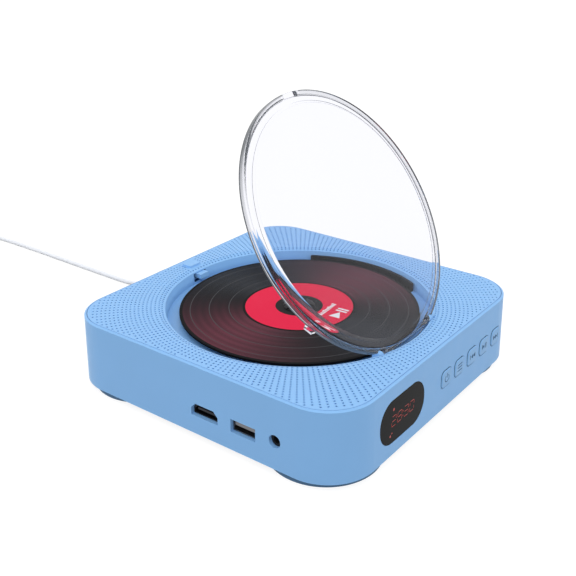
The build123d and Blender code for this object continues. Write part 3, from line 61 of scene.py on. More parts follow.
# ---------------------------------------------------------------- node helpers
class Look:
    """One procedural material; most methods add a node and return its output."""

    def __init__(self, name):
        self.material = bpy.data.materials.new(name)
        self.material.use_nodes = True
        self.tree = self.material.node_tree
        self.tree.nodes.clear()
        self.end = self.node("ShaderNodeOutputMaterial")
        self.place = self.node("ShaderNodeTexCoord").outputs["Object"]

    def node(self, kind, **values):
        """Add a node and set its properties."""
        made = self.tree.nodes.new(kind)
        for key, value in values.items():
            setattr(made, key, value)
        return made

    def link(self, source, target):
        """Connect an output to an input."""
        self.tree.links.new(source, target)

    def feed(self, target, value):
        """Link an output to an input, or set the input to a plain value."""
        if hasattr(value, "links"):
            self.link(value, target)
        else:
            target.default_value = value

    def math(self, operation, *values):
        """One sum, product or other operation on outputs or plain values."""
        made = self.node("ShaderNodeMath", operation=operation)
        for index, value in enumerate(values):
            self.feed(made.inputs[index], value)
        return made.outputs[0]

    def noise(self, scale, detail=3.0, stretch=None, roughness=0.5):
        """Cloudy noise in the object's own space; `stretch` scales it per axis."""
        made = self.node("ShaderNodeTexNoise")
        made.inputs["Scale"].default_value = scale
        made.inputs["Detail"].default_value = detail
        made.inputs["Roughness"].default_value = roughness
        place = self.place
        if stretch:
            mapping = self.node("ShaderNodeMapping")
            self.link(place, mapping.inputs["Vector"])
            mapping.inputs["Scale"].default_value = stretch
            place = mapping.outputs[0]
        self.link(place, made.inputs["Vector"])
        return made.outputs["Fac"]

    def spread(self, source, low, high, start=0.0, end=1.0):
        """Map start..end to low..high, clamped at both ends."""
        made = self.node("ShaderNodeMapRange")
        self.link(source, made.inputs["Value"])
        made.inputs["From Min"].default_value = start
        made.inputs["From Max"].default_value = end
        made.inputs["To Min"].default_value = low
        made.inputs["To Max"].default_value = high
        return made.outputs[0]

    def blend(self, factor, first, second):
        """Mix two colours, each an output or three numbers."""
        made = self.node("ShaderNodeMix", data_type="RGBA")
        self.feed(made.inputs["Factor"], factor)
        for index, value in ((6, first), (7, second)):
            if not hasattr(value, "links"):
                value = (*value, 1.0)
            self.feed(made.inputs[index], value)
        return made.outputs[2]

    def bump(self, height, distance, strength=1.0):
        """Normal from a height; `distance` is in metres."""
        made = self.node("ShaderNodeBump")
        made.inputs["Strength"].default_value = strength
        made.inputs["Distance"].default_value = distance
        self.link(height, made.inputs["Height"])
        return made.outputs[0]

    def shader(self, **inputs):
        """Principled shader; an underscore in a name stands for a space."""
        made = self.node("ShaderNodeBsdfPrincipled")
        for key, value in inputs.items():
            target = made.inputs[key.replace("_", " ")]
            if isinstance(value, tuple) and len(value) == 3 and target.type == "RGBA":
                value = (*value, 1.0)
            self.feed(target, value)
        return made.outputs[0]

    def finish(self, shader):
        """Put the shader on the surface and return the material."""
        self.link(shader, self.end.inputs["Surface"])
        return self.material


def moulded(name, color, rough=0.42, grain=0.00001, scale=2600.0, vary=0.03, **extra):
    """Moulded plastic: fine spark-eroded grain, faint mottling and uneven sheen."""
    look = Look(name)
    mottle = look.noise(38.0, 4.0)
    dark = tuple(channel * (1 - vary) for channel in color)
    light = tuple(min(1.0, channel * (1 + vary)) for channel in color)
    tint = look.blend(mottle, dark, light)
    sheen = look.spread(look.noise(160.0, 5.0), rough - 0.05, rough + 0.05, 0.3, 0.7)
    normal = look.bump(look.noise(scale, 2.0), grain)
    return look.finish(look.shader(Base_Color=tint, Roughness=sheen, Normal=normal, **extra))


def metal(name, color, rough, stretch=(1.0, 1.0, 30.0)):
    """Brushed or drawn metal with fine streaks."""
    look = Look(name)
    streak = look.noise(700.0, 4.0, stretch)
    tint = look.blend(streak, tuple(channel * 0.86 for channel in color), color)
    sheen = look.spread(streak, rough - 0.08, rough + 0.1)
    normal = look.bump(streak, 0.000008)
    return look.finish(look.shader(Base_Color=tint, Metallic=1.0, Roughness=sheen, Normal=normal))


# ---------------------------------------------------------------- sizes of the case and lid, in mm
case_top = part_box("top_grille")[1].z / MM
case_half, case_bottom = 82.7, 3.5
lid_radius, lid_top, lid_rim = 64.18, case_top - 0.2, case_top - 3.6
hinge_x, hinge_z = 61.3, lid_rim + 0.63
lid_open = radians(57)
# The lens band is a bump in the material; the step is modelled in the lid's underside
band_inner, band_outer, band_height = 57.4, 64.0, 1.2
lid_step = 58.7

# ---------------------------------------------------------------- materials
blue = (0.25, 0.497, 0.85)
case_blue = moulded("case_blue", blue, 0.42, Specular_IOR_Level=0.25)
button_blue = moulded("button_blue", (0.24, 0.477, 0.806), 0.38, Specular_IOR_Level=0.25)
# Painted shade: dark blue floors for the holes and the plunger's pocket
hole_shade = moulded("hole_shade", (0.02, 0.06, 0.14), 0.75, Specular_IOR_Level=0.1)
# Painted shade: dark blue for the flanks in the gaps round the buttons
gap_shade = moulded("gap_shade", (0.025, 0.065, 0.12), 0.75, Specular_IOR_Level=0.1)
sign_blue = moulded("sign_blue", (0.075, 0.16, 0.3), 0.6, Specular_IOR_Level=0.1)
black_plastic = moulded(
    "black_plastic", (0.012, 0.012, 0.014), 0.45, 0.00002, Specular_IOR_Level=0.2
)
gloss_black = moulded(
    "gloss_black", (0.006, 0.006, 0.006), 0.14, 0.000002, Specular_IOR_Level=0.04
)
base_grey = moulded("base_grey", (0.045, 0.06, 0.085), 0.55, 0.00003)
foot_rubber = moulded("foot_rubber", (0.075, 0.165, 0.29), 0.75, 0.00004, 1800.0, 0.12)
damper_rubber = moulded("damper_rubber", (0.01, 0.01, 0.011), 0.7, 0.00003, 1800.0, 0.1)
cord_white = moulded("cord_white", (0.86, 0.885, 0.94), 0.38, 0.000012, 1500.0)
gear_white = moulded("gear_white", (0.76, 0.75, 0.70), 0.4, 0.00001)
paper_cone = moulded("paper_cone", (0.02, 0.02, 0.022), 0.85, 0.00006, 900.0, 0.2)
steel = metal("steel", (0.62, 0.63, 0.65), 0.28)
motor_steel = metal("motor_steel", (0.52, 0.53, 0.56), 0.34, (1.0, 1.0, 14.0))
socket_steel = metal("socket_steel", (0.2, 0.2, 0.21), 0.4)
socket_dark = metal("socket_dark", (0.05, 0.05, 0.055), 0.5)


def board_look():
    """Green solder mask over copper tracks."""
    look = Look("board_green")
    tracks = look.node("ShaderNodeTexVoronoi", feature="DISTANCE_TO_EDGE", distance="MANHATTAN")
    tracks.inputs["Scale"].default_value = 170.0
    look.link(look.place, tracks.inputs["Vector"])
    line = look.spread(tracks.outputs["Distance"], 0.0, 1.0, 0.03, 0.06)
    tint = look.blend(line, (0.02, 0.16, 0.06), (0.012, 0.085, 0.035))
    sheen = look.spread(look.noise(240.0), 0.25, 0.4)
    normal = look.bump(line, 0.00003)
    return look.finish(look.shader(Base_Color=tint, Roughness=sheen, Normal=normal))


def disc_look():
    """Near-black coated face: fine grooves, plain rings, and red and grey sheens painted across it
    as reflections.
    """
    look = Look("disc_coated")
    split = look.node("ShaderNodeSeparateXYZ")
    look.link(look.place, split.inputs[0])
    x, y = split.outputs["X"], split.outputs["Y"]
    square = look.math("ADD", look.math("MULTIPLY", x, x), look.math("MULTIPLY", y, y))
    radius = look.math("SQRT", square)

    def ring(middle, half):
        """1 on a ring of this middle radius and half width, in millimetres."""
        away = look.math("ABSOLUTE", look.math("SUBTRACT", radius, middle * MM))
        return look.math("LESS_THAN", away, half * MM)

    def sheen_across(axis, power):
        """Two opposite fans of painted reflection across the disc, about an axis in degrees."""
        turned = look.math("SUBTRACT", look.math("ARCTAN2", y, x), radians(axis))
        return look.math("POWER", look.math("ABSOLUTE", look.math("COSINE", turned)), power)

    groove_pitch, beat_pitch = 0.00052, 0.0041
    wave = look.math("SINE", look.math("MULTIPLY", radius, 2 * pi / groove_pitch))
    beat = look.math("SINE", look.math("MULTIPLY", radius, 2 * pi / beat_pitch))
    tracks = look.spread(beat, 0.72, 1.0, -1.0, 1.0)
    # Painted reflection: red and grey sheens, ringed by the tracks, blended into the coat's colour
    red = look.math("MULTIPLY", sheen_across(82, 5.0), tracks)
    grey = look.math("MULTIPLY", sheen_across(-6, 16.0), tracks)
    coat_and_sheen = look.blend(grey, (0.009, 0.009, 0.011), (0.027, 0.029, 0.034))
    coat_and_sheen = look.blend(red, coat_and_sheen, (0.118, 0.030, 0.046))
    outer_rings = look.math("MAXIMUM", ring(45.1, 0.18), ring(54.6, 0.18))
    plain = look.math("MAXIMUM", ring(35.2, 0.18), outer_rings)
    tint = look.blend(plain, coat_and_sheen, (0.065, 0.065, 0.07))
    border = look.math("MAXIMUM", ring(27.6, 0.7), ring(59.3, 0.9))
    tint = look.blend(border, tint, (0.006, 0.006, 0.007))
    smooth = look.math("MAXIMUM", plain, border)
    grooves = look.math("MULTIPLY", wave, look.math("SUBTRACT", 1.0, smooth))
    sheen = look.spread(look.noise(30.0), 0.3, 0.38)
    normal = look.bump(grooves, 0.00002)
    tangent = look.node("ShaderNodeTangent", direction_type="RADIAL", axis="Z").outputs[0]
    return look.finish(
        look.shader(
            Base_Color=tint, Roughness=sheen, Normal=normal, Anisotropic=0.6, Tangent=tangent,
            Specular_IOR_Level=0.025,
        )
    )


def paint(name, color, rough=0.35, **extra):
    """Smooth paint, print or coated paper: almost no grain."""
    return moulded(name, color, rough, 0.000004, 3000.0, 0.02, **extra)


label_red = paint("label_red", (0.72, 0.008, 0.055), Specular_IOR_Level=0.04)
label_white = paint("label_white", (0.78, 0.78, 0.79))
label_black = paint("label_black", (0.006, 0.006, 0.007), 0.4, Specular_IOR_Level=0.06)
led_red = paint(
    "led_red", (0.2, 0.01, 0.01), 0.3, Emission_Color=(0.6, 0.03, 0.02), Emission_Strength=0.32
)


def lens_band(look):
    """Height in metres of the thick moulded band inside the lid's edge, on its outer face."""
    split = look.node("ShaderNodeSeparateXYZ")
    look.link(look.place, split.inputs[0])
    x, y, z = split.outputs
    # Distance from the lid's middle along the open lid, from the hinge's side to the far edge
    along = look.math(
        "ADD",
        look.math("MULTIPLY", look.math("SUBTRACT", x, hinge_x * MM), -cos(lid_open)),
        look.math("MULTIPLY", look.math("SUBTRACT", z, hinge_z * MM), sin(lid_open)),
    )
    along = look.math("SUBTRACT", along, hinge_x * MM)
    square = look.math("ADD", look.math("MULTIPLY", along, along), look.math("MULTIPLY", y, y))
    radius = look.math("SQRT", square)
    inward = look.spread(radius, 1.0, 0.0, band_inner * MM, band_outer * MM)
    inside = look.math("GREATER_THAN", radius, band_inner * MM)
    rise = look.math("MULTIPLY", look.math("POWER", inward, 2.0), inside)
    # The band is thickest on the -Y side and fades out across the middle
    side = look.spread(y, 1.0, 0.12, -0.024, -0.004)
    back = look.node("ShaderNodeNewGeometry").outputs["Backfacing"]
    outward = look.spread(back, band_height * MM, 0.0)
    return look.math("MULTIPLY", look.math("MULTIPLY", rise, side), outward)


def clear_look(name, dark, power):
    """Polished acrylic with hairline wear; `dark` says how far painted shade greys it at grazing
    angles.
    """
    look = Look(name)
    sheen = look.spread(look.noise(420.0, 6.0, (1.0, 6.0, 1.0)), 0.0, 0.008, 0.62, 0.8)
    facing = look.node("ShaderNodeLayerWeight").outputs["Facing"]
    tint = look.blend(look.noise(20.0), (0.865, 0.87, 0.925), (0.88, 0.885, 0.935))
    clear = look.shader(
        Base_Color=tint, Roughness=sheen, IOR=1.49, Transmission_Weight=1.0,
        Specular_Tint=(0.05, 0.055, 0.07), Normal=look.bump(lens_band(look), 1.0),
    )
    # Painted shade: a grey surface mixed in at grazing angles, more on back faces, darkens the
    # edges
    grey = look.shader(Base_Color=(0.14, 0.15, 0.16), Roughness=sheen, Specular_IOR_Level=0.1)
    back = look.node("ShaderNodeNewGeometry").outputs["Backfacing"]
    share = look.spread(back, dark, 2.2 * dark)
    grazing = look.math("MULTIPLY", look.math("POWER", facing, power), share)
    clear_and_edge_shade = look.node("ShaderNodeMixShader")
    look.link(look.math("MINIMUM", grazing, 0.92), clear_and_edge_shade.inputs[0])
    look.link(clear, clear_and_edge_shade.inputs[1])
    look.link(grey, clear_and_edge_shade.inputs[2])
    # Shadow rays and bounced light pass nearly unchanged, so the lid casts hardly any shadow
    pass_light = look.node("ShaderNodeBsdfTransparent")
    pass_light.inputs[0].default_value = (0.95, 0.96, 0.98, 1.0)
    path = look.node("ShaderNodeLightPath")
    mixed = look.node("ShaderNodeMixShader")
    soft = look.math("MAXIMUM", path.outputs["Is Shadow Ray"], path.outputs["Is Diffuse Ray"])
    look.link(soft, mixed.inputs[0])
    look.link(clear_and_edge_shade.outputs[0], mixed.inputs[1])
    look.link(pass_light.outputs[0], mixed.inputs[2])
    return look.finish(mixed.outputs[0])


board_green = board_look()
disc_coated = disc_look()
lid_clear = clear_look("lid_clear", 0.0, 5.0)
lid_edge = clear_look("lid_edge", 3.0, 2.0)
lens_glass = paint("lens_glass", (0.10, 0.12, 0.32), 0.06, Coat_Weight=1.0, Coat_Roughness=0.03)

# Finishes of the frame's own solids
finishes = {
    case_blue: ["housing_shell", "switch_plunger"],
    black_plastic: [
        "mechanism_cover", "turntable", "mechanism_chassis", "pickup_sled", "display_module",
        "power_inlet", "tact_switches", "lid_switch",
    ],
    base_grey: ["bottom_cover", "switch_bracket"],
    foot_rubber: ["foot_front_left", "foot_front_right", "foot_back_left", "foot_back_right"],
    damper_rubber: ["damper_1", "damper_2", "damper_3", "damper_4"],
    board_green: ["main_board", "button_board"],
    steel: [
        "spindle_shaft", "guide_rods", "gear_pin", "hinge_pins", "case_screws", "board_screws",
        "cover_screws", "damper_screws", "usb_plug_shell",
    ],
    motor_steel: ["spindle_motor", "sled_motor"],
    paper_cone: ["speaker_front", "speaker_back"],
    gear_white: ["sled_gear", "sled_pinion"],
    lens_glass: ["pickup_lens"],
    cord_white: ["power_plug", "strain_relief", "cord_tie", "usb_plug"],
}
for finish, names in finishes.items():
    for name in names:
        data = nodes[name].data
        data.materials.clear()
        data.materials.append(finish)


# ---------------------------------------------------------------- mesh helpers
def upright(u, v, w):
    """Place with u along X, v along Y and w up."""
    return (u, v, w)


def sideways(u, v, w):
    """Place with u along X, v up and w along Y."""
    return (u, w, v)


def new_piece(name, points, faces, *materials):
    """Object from points in millimetres."""
    data = bpy.data.meshes.new(name)
    data.from_pydata([Vector(p) * MM for p in points], [], faces)
    for material in materials:
        data.materials.append(material)
    made = bpy.data.objects.new(name, data)
    bpy.context.scene.collection.objects.link(made)
    return made


def copy_of(node, name, *materials):
    """A new object with a welded copy of a node's mesh."""
    data = nodes[node].data.copy()
    data.name = name
    data.materials.clear()
    for material in materials:
        data.materials.append(material)
    made = bpy.data.objects.new(name, data)
    bpy.context.scene.collection.objects.link(made)
    shape = bmesh.new()
    shape.from_mesh(data)
    bmesh.ops.remove_doubles(shape, verts=shape.verts, dist=1e-6)
    bmesh.ops.dissolve_degenerate(shape, edges=shape.edges, dist=1e-7)
    for face in shape.faces:
        face.material_index = 0
    shape.to_mesh(data)
    shape.free()
    if data.attributes.get("custom_normal"):
        data.attributes.remove(data.attributes["custom_normal"])
    return made


def combine(piece, tool, operation="DIFFERENCE"):
    """Cut or join with a closed mesh, which is then deleted."""
    change = piece.modifiers.new("cut", "BOOLEAN")
    change.object = tool
    change.operation = operation
    change.solver = "MANIFOLD"
    change.material_mode = "TRANSFER"
    graph = bpy.context.evaluated_depsgraph_get()
    graph.update()
    data = bpy.data.meshes.new_from_object(piece.evaluated_get(graph))
    piece.modifiers.remove(change)
    piece.data = data
    bpy.data.objects.remove(tool)
    return piece


def crisp(piece, angle=32.0):
    """Smooth shading, with edges sharper than the angle kept."""
    shape = bmesh.new()
    shape.from_mesh(piece.data)
    shape.normal_update()
    for face in shape.faces:
        face.smooth = True
    for edge in shape.edges:
        flat = len(edge.link_faces) == 2 and edge.calc_face_angle(0.0) < radians(angle)
        edge.smooth = flat
    shape.to_mesh(piece.data)
    shape.free()
    return piece


def lathe(name, profile, material, steps=256, closed=True):
    """Turn a profile of (radius, height) about Z; radius 0 closes at the axis."""
    points, rings = [], []
    for radius, height in profile:
        if radius == 0:
            rings.append([len(points)] * steps)
            points.append((0.0, 0.0, height))
        else:
            first = len(points)
            rings.append(list(range(first, first + steps)))
            for step in range(steps):
                angle = 2 * pi * step / steps
                points.append((radius * cos(angle), radius * sin(angle), height))
    faces = []
    pairs = list(zip(rings, rings[1:]))
    if closed:
        pairs.append((rings[-1], rings[0]))
    for low, high in pairs:
        for step in range(steps):
            after = (step + 1) % steps
            corners = [low[step], low[after], high[after], high[step]]
            face = list(dict.fromkeys(corners))
            if len(face) > 2:
                faces.append(face)
    return new_piece(name, points, faces, material)


def prisms(name, outlines, low, high, to_space, side, cap):
    """Closed prisms on outlines; to_space(u, v, w) places them, and the low cap takes `cap`."""
    points, faces, marks = [], [], []
    for outline in outlines:
        first, count = len(points), len(outline)
        points += [to_space(u, v, low) for u, v in outline]
        points += [to_space(u, v, high) for u, v in outline]
        faces.append(list(range(first + count - 1, first - 1, -1)))
        marks.append(1)
        faces.append(list(range(first + count, first + 2 * count)))
        marks.append(0)
        for index in range(count):
            here, after = first + index, first + (index + 1) % count
            faces.append([here, after, count + after, count + here])
            marks.append(0)
    made = new_piece(name, points, faces, side, cap)
    made.data.polygons.foreach_set("material_index", marks)
    return made


def ring_of(x, y, radius, count):
    """Outline of a circle."""
    outline = []
    for step in range(count):
        angle = 2 * pi * step / count
        outline.append((x + radius * cos(angle), y + radius * sin(angle)))
    return outline


def box_of(u0, v0, u1, v1):
    """Outline of a rectangle between two opposite corners."""
    return [(u0, v0), (u1, v0), (u1, v1), (u0, v1)]


def round_box(u0, u1, v0, v1, corner, count=6):
    """Outline of a rectangle with rounded corners."""
    centres = [
        (u1 - corner, v1 - corner), (u0 + corner, v1 - corner),
        (u0 + corner, v0 + corner), (u1 - corner, v0 + corner),
    ]
    outline = []
    for quarter, (u, v) in enumerate(centres):
        for step in range(count + 1):
            angle = pi / 2 * (quarter + step / count)
            outline.append((u + corner * cos(angle), v + corner * sin(angle)))
    return outline


def sector(name, profile, start, end, steps, material):
    """Closed solid: a profile of (radius, height) swept about Z from one angle to another."""
    count = len(profile)
    points = []
    for step in range(steps + 1):
        angle = start + (end - start) * step / steps
        points += [(radius * cos(angle), radius * sin(angle), height) for radius, height in profile]
    faces = [list(range(count)), list(range(count * steps + count - 1, count * steps - 1, -1))]
    for step in range(steps):
        for index in range(count):
            here, after = count * step + index, count * step + (index + 1) % count
            faces.append([here, here + count, after + count, after])
    made = new_piece(name, points, faces, material)
    shape = bmesh.new()
    shape.from_mesh(made.data)
    bmesh.ops.recalc_face_normals(shape, faces=shape.faces)
    shape.to_mesh(made.data)
    shape.free()
    return made


# ---------------------------------------------------------------- perforated top plate
plate_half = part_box("top_grille")[1].x / MM
plate_corner = 21.8
hole_radius, hole_margin, hole_depth, hole_sides = 0.53, 1.0, 1.7, 10
hole_lines, hole_rows, ring_pitch = 200, 19, 2.0
first_ring, ring_start = 68.3, 67.75
well_neck, well_rim = 66.8, 70.0
scoop_reach, scoop_depth = 77.4, 1.8
scoop_start, scoop_end = radians(175.4), radians(186.6)
pad_x, pad_y, pad_height = (-76.9, -70.3), (-3.9, 4.4), 1.1
pad_root, pad_corner = 1.4, 1.4
pad_clear_x, pad_clear_y = (0.9, 0.7), (0.7, 0.9)


def on_pad(x, y):
    """Whether a hole here would touch the raised finger pad."""
    along = pad_x[0] - pad_clear_x[0] < x < pad_x[1] + pad_clear_x[1]
    across = pad_y[0] - pad_clear_y[0] < y < pad_y[1] + pad_clear_y[1]
    return along and across


def past_corner(x, y):
    """Whether a hole here would come too near the plate's rounded outline."""
    straight = plate_half - plate_corner
    over = hypot(max(abs(x) - straight, 0), max(abs(y) - straight, 0))
    return over > plate_corner - hole_margin


holes = []
for row in range(hole_rows):
    radius = first_ring if row == 0 else ring_start + ring_pitch * row
    for line in range(hole_lines):
        angle = 2 * pi * line / hole_lines
        x, y = radius * cos(angle), radius * sin(angle)
        if not past_corner(x, y) and not on_pad(x, y):
            holes.append(ring_of(x, y, hole_radius, hole_sides))
plate = copy_of("top_grille", "perforated_plate", case_blue, hole_shade)
# Fill the solid's finger scoop, with the well's lip carried across it, and raise the pad there
neck_drop, skin = 1.21, 0.01
lip = [
    (well_neck, case_top - neck_drop),
    (well_rim, case_top - skin),
    (scoop_reach, case_top - skin),
    (scoop_reach, case_top - scoop_depth),
    (well_neck, case_top - scoop_depth),
]
combine(plate, sector("tool", lip, scoop_start, scoop_end, 24, case_blue), "UNION")
pad = prisms(
    "tool", [round_box(*pad_x, *pad_y, pad_corner)], case_top - pad_root, case_top + pad_height,
    upright, case_blue, case_blue,
)
combine(plate, pad, "UNION")
# The holes end in floors of painted shade, for the dark inside behind them
drill = prisms(
    "drill", holes, case_top - hole_depth, case_top + 1.0, upright, case_blue, hole_shade
)
combine(plate, drill)
# The pocket round the plunger takes painted shade, apart from its walls that face along X
pocket_low = Vector((-72, -6.4, case_top - 9)) * MM
pocket_high = Vector((-66.2, 4.4, case_top - 1.9)) * MM
for face in plate.data.polygons:
    inside = all(
        low < place < high for low, place, high in zip(pocket_low, face.center, pocket_high)
    )
    if inside and abs(face.normal.x) < 0.9:
        face.material_index = 1
crisp(plate)
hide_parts("top_grille")
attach(plate, "base")

# ---------------------------------------------------------------- head of the lid switch plunger
head_x, head_y = (-70, -60), (-3.6, 2.6)
plunger = copy_of("switch_plunger", "plunger_head", case_blue)
flanks = [box_of(head_x[0], -6, head_x[1], head_y[0]), box_of(head_x[0], head_y[1], head_x[1], 4)]
trim = prisms("tool", flanks, case_top - 6, case_top, upright, case_blue, case_blue)
combine(plunger, trim)
crisp(plunger)
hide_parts("switch_plunger")
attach(plunger, "switch_plunger")

# ---------------------------------------------------------------- disc and its label
disc_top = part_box("disc")[1].z / MM
disc_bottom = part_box("disc")[0].z / MM
disc_radius, disc_bore, disc_edge = 60.0, 7.5, 0.12
disc_profile = [
    (disc_bore, disc_bottom), (disc_bore, disc_top - 0.05), (disc_bore + 0.05, disc_top),
    (59.2, disc_top), (disc_radius - disc_edge, disc_top - 0.03),
    (disc_radius, disc_top - disc_edge), (disc_radius, disc_bottom + disc_edge),
    (disc_radius - disc_edge, disc_bottom),
]
disc = lathe("disc_body", disc_profile, disc_coated, 288)
crisp(disc)
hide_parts("disc")
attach(disc, "disc_unit")


def flat_ring(name, inner, outer, height, material, steps=160):
    """Thin ring of paper or paint that turns with the disc."""
    made = lathe(name, [(inner, height), (outer, height)], material, steps, closed=False)
    crisp(made)
    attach(made, "disc_unit")


label_height, label_hole, label_inner, label_outer = disc_top + 0.02, 7.56, 11.8, 27.0
flat_ring("label_paper", label_inner, label_outer, label_height, label_red)
flat_ring("label_centre", label_hole, label_inner, label_height, label_black)

# Plain marks where a label carries its print: a row of ticks, a bar, and a triangle with two bars
label_marks = []
for tick in range(13):
    reach = 7.9 if tick % 3 else 8.4
    label_marks.append(box_of(-8.6 + 1.5 * tick, 5.9, -7.6 + 1.5 * tick, reach))
label_marks.append(box_of(-10.4, -3.6, -9.6, 7.2))
label_marks.append([(-2.6, -3.0), (3.4, 0.0), (-2.6, 3.0)])
label_marks.append(box_of(4.3, -3.0, 5.5, 3.0))
label_marks.append(box_of(6.5, -3.0, 7.7, 3.0))
mark_angle, mark_radius = radians(5), 21.4


def on_label(u, v, w):
    """Place on the label: v towards the disc's centre, u across it and w up."""
    out = mark_radius - v
    return (
        out * cos(mark_angle) - u * sin(mark_angle),
        out * sin(mark_angle) + u * cos(mark_angle),
        disc_top + w,
    )


label_print = prisms("label_marks", label_marks, 0.015, 0.045, on_label, label_white, label_white)
crisp(label_print)
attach(label_print, "disc_unit")

# ---------------------------------------------------------------- clear lid
crown_radius, fillet_radius, fillet_drop = 0.9, 1.2, 2.8
rim_wide, rim_chamfer = 2.0, 0.2
ear_inner, ear_outer, ear_radius = 17.0, 21.0, 2.3
slot_x, slot_y, slot_half = (58.5, 68.5), 22.8, 1.8
pin_bore_radius, pin_bore_half = 1.0, 23.0
notch_x, notch_y, notch_height = (-66.8, -61.6), (-6.1, 4.1), 2.1
tab_x, tab_angle, tab_half = (62.2, 64.2), radians(-57), 2.25


def quarter(radius, height, bend):
    """Quarter circle of the lid's profile, from its top outward, in steps of 15 degrees."""
    turns = [step * pi / 12 for step in range(7)]
    return [(radius + bend * sin(turn), height + bend * cos(turn)) for turn in turns]


# Built closed and level: the top with its rounded edge, then the rim, then the underside
fillet = quarter(lid_radius - rim_wide - fillet_radius, lid_top - fillet_drop, fillet_radius)
profile = [(0, lid_top)]
profile += quarter(lid_radius - crown_radius, lid_top - crown_radius, crown_radius)
profile += [
    (lid_radius, lid_rim + rim_chamfer),
    (lid_radius - rim_chamfer, lid_rim),
    (lid_radius - rim_wide + rim_chamfer, lid_rim),
    (lid_radius - rim_wide, lid_rim + rim_chamfer),
]
profile += fillet[::-1]
# The rim band is thicker than the middle; its inner edge shows as a fine line
band_thick, middle_thick = 1.6, 1.25
profile += [
    (lid_step, lid_top - band_thick), (lid_step, lid_top - middle_thick),
    (0, lid_top - middle_thick),
]
lid = lathe("lid_clear_cover", profile[::-1], lid_clear, 480, closed=False)


def block(x0, y0, z0, x1, y1, z1):
    """Box that cuts or joins the lid, between two opposite corners."""
    return prisms("tool", [box_of(x0, y0, x1, y1)], z0, z1, upright, lid_clear, lid_clear)


def barrel(radius, sides, low, high):
    """Round bar on the hinge's axis, from one Y to another."""
    outline = ring_of(hinge_x, hinge_z, radius, sides)
    made = prisms("tool", [outline], low, high, sideways, lid_clear, lid_clear)
    made.data.flip_normals()
    return made


for side in (-1, 1):
    low, high = sorted((side * ear_inner, side * ear_outer))
    combine(lid, barrel(ear_radius, 32, low, high), "UNION")
    y0, y1 = side * slot_y - slot_half, side * slot_y + slot_half
    combine(lid, block(slot_x[0], y0, lid_rim - 1, slot_x[1], y1, lid_top + 1))
combine(lid, barrel(pin_bore_radius, 24, -pin_bore_half, pin_bore_half))
notch = block(notch_x[0], notch_y[0], lid_rim - 1, notch_x[1], notch_y[1], lid_rim + notch_height)
combine(lid, notch)
tab = block(tab_x[0], -tab_half, lid_rim - 2.6, tab_x[1], tab_half, lid_rim + 0.3)
tab.data.transform(Matrix.Rotation(tab_angle, 4, "Z"))
combine(lid, tab, "UNION")
# The rim and the step's edge take painted shade that greys them at grazing angles; the notch, the
# hinge ears and the tab don't
lid.data.materials.append(lid_edge)
edge_index = len(lid.data.materials) - 1
for face in lid.data.polygons:
    x, y, z = face.center / MM
    reach = hypot(x, y)
    on_rim = reach > lid_radius - 2.4 and z > lid_rim - 0.05
    on_notch = x < 0 and abs(y + 1) < 5.6
    on_ears = x > 57 and abs(y) > 15.5 and reach > 64.2
    on_step = abs(reach - lid_step) < 0.05
    if on_step or (on_rim and not on_notch and not on_ears):
        face.material_index = edge_index
hinge = Matrix.Translation(Vector((hinge_x, 0, hinge_z)) * MM)
lid.data.transform(hinge @ Matrix.Rotation(lid_open, 4, "Y") @ hinge.inverted())
crisp(lid, 40)
# The large faces are flat shaded, or their bent normals would refract in streaks
lid_axis = Vector((sin(lid_open), 0, cos(lid_open)))
for face in lid.data.polygons:
    face.use_smooth = abs(face.normal.dot(lid_axis)) < 0.9995
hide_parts("lid")
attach(lid, "lid")

# ---------------------------------------------------------------- display
# Slope of the case wall's draft of 1.65 degrees
wall_slope = 0.028807
display_y, display_z = -35.5, 20.2
digit_wide, digit_high, stroke, digit_lean = 1.55, 2.6, 0.42, 0.12
strokes = {
    "a": box_of(-digit_wide, digit_high - stroke, digit_wide, digit_high),
    "g": box_of(-digit_wide, -stroke / 2, digit_wide, stroke / 2),
    "d": box_of(-digit_wide, -digit_high, digit_wide, stroke - digit_high),
    "f": box_of(-digit_wide - stroke, stroke, -digit_wide, digit_high - stroke),
    "b": box_of(digit_wide, stroke, digit_wide + stroke, digit_high - stroke),
    "e": box_of(-digit_wide - stroke, stroke - digit_high, -digit_wide, -stroke),
    "c": box_of(digit_wide, stroke - digit_high, digit_wide + stroke, -stroke),
}
digits = {"2": "abged", "8": "abcdefg", "3": "abgcd", "0": "abcdef"}
lit = []
for place, digit in zip((-7.4, -2.6, 2.9, 7.7), "2830"):
    for bar in digits[digit]:
        lit.append([(u + place + v * digit_lean, v) for u, v in strokes[bar]])
colon_dots = [(0.25, 1.0, 0.32, 12), (0.05, -1.0, 0.32, 12)]
mode_dots = [(-7.6, 5.6, 0.75, 14), (-10.2, -6.6, 0.65, 14), (-8.9, -5.6, 0.45, 12)]
lit += [ring_of(*dot) for dot in colon_dots + mode_dots]


def on_wall(u, v, w):
    """Place on the drafted +X wall: u along Y, v up, w outward from the wall."""
    z = display_z + v
    return (case_half - (z - case_bottom) * wall_slope + w, display_y + u, z)


window = copy_of("display_window", "display_face", gloss_black, led_red)
combine(window, prisms("tool", lit, -0.06, 0.5, on_wall, gloss_black, led_red))
crisp(window)
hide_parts("display_window")
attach(window, "base")

# ---------------------------------------------------------------- sockets behind the wall
setback, spare = 1.3, 1


def socket_look(node, finish):
    """Copy of a socket whose mouth sits further behind the wall."""
    low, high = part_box(node)
    face = low.y / MM
    mouth = copy_of(node, node + "_shell", finish)
    front = box_of(
        low.x / MM - spare, low.z / MM - spare, high.x / MM + spare, high.z / MM + spare
    )
    cut = prisms("tool", [front], face - spare, face + setback, sideways, finish, finish)
    cut.data.flip_normals()
    combine(mouth, cut)
    crisp(mouth)
    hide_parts(node)
    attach(mouth, "base")
    return mouth


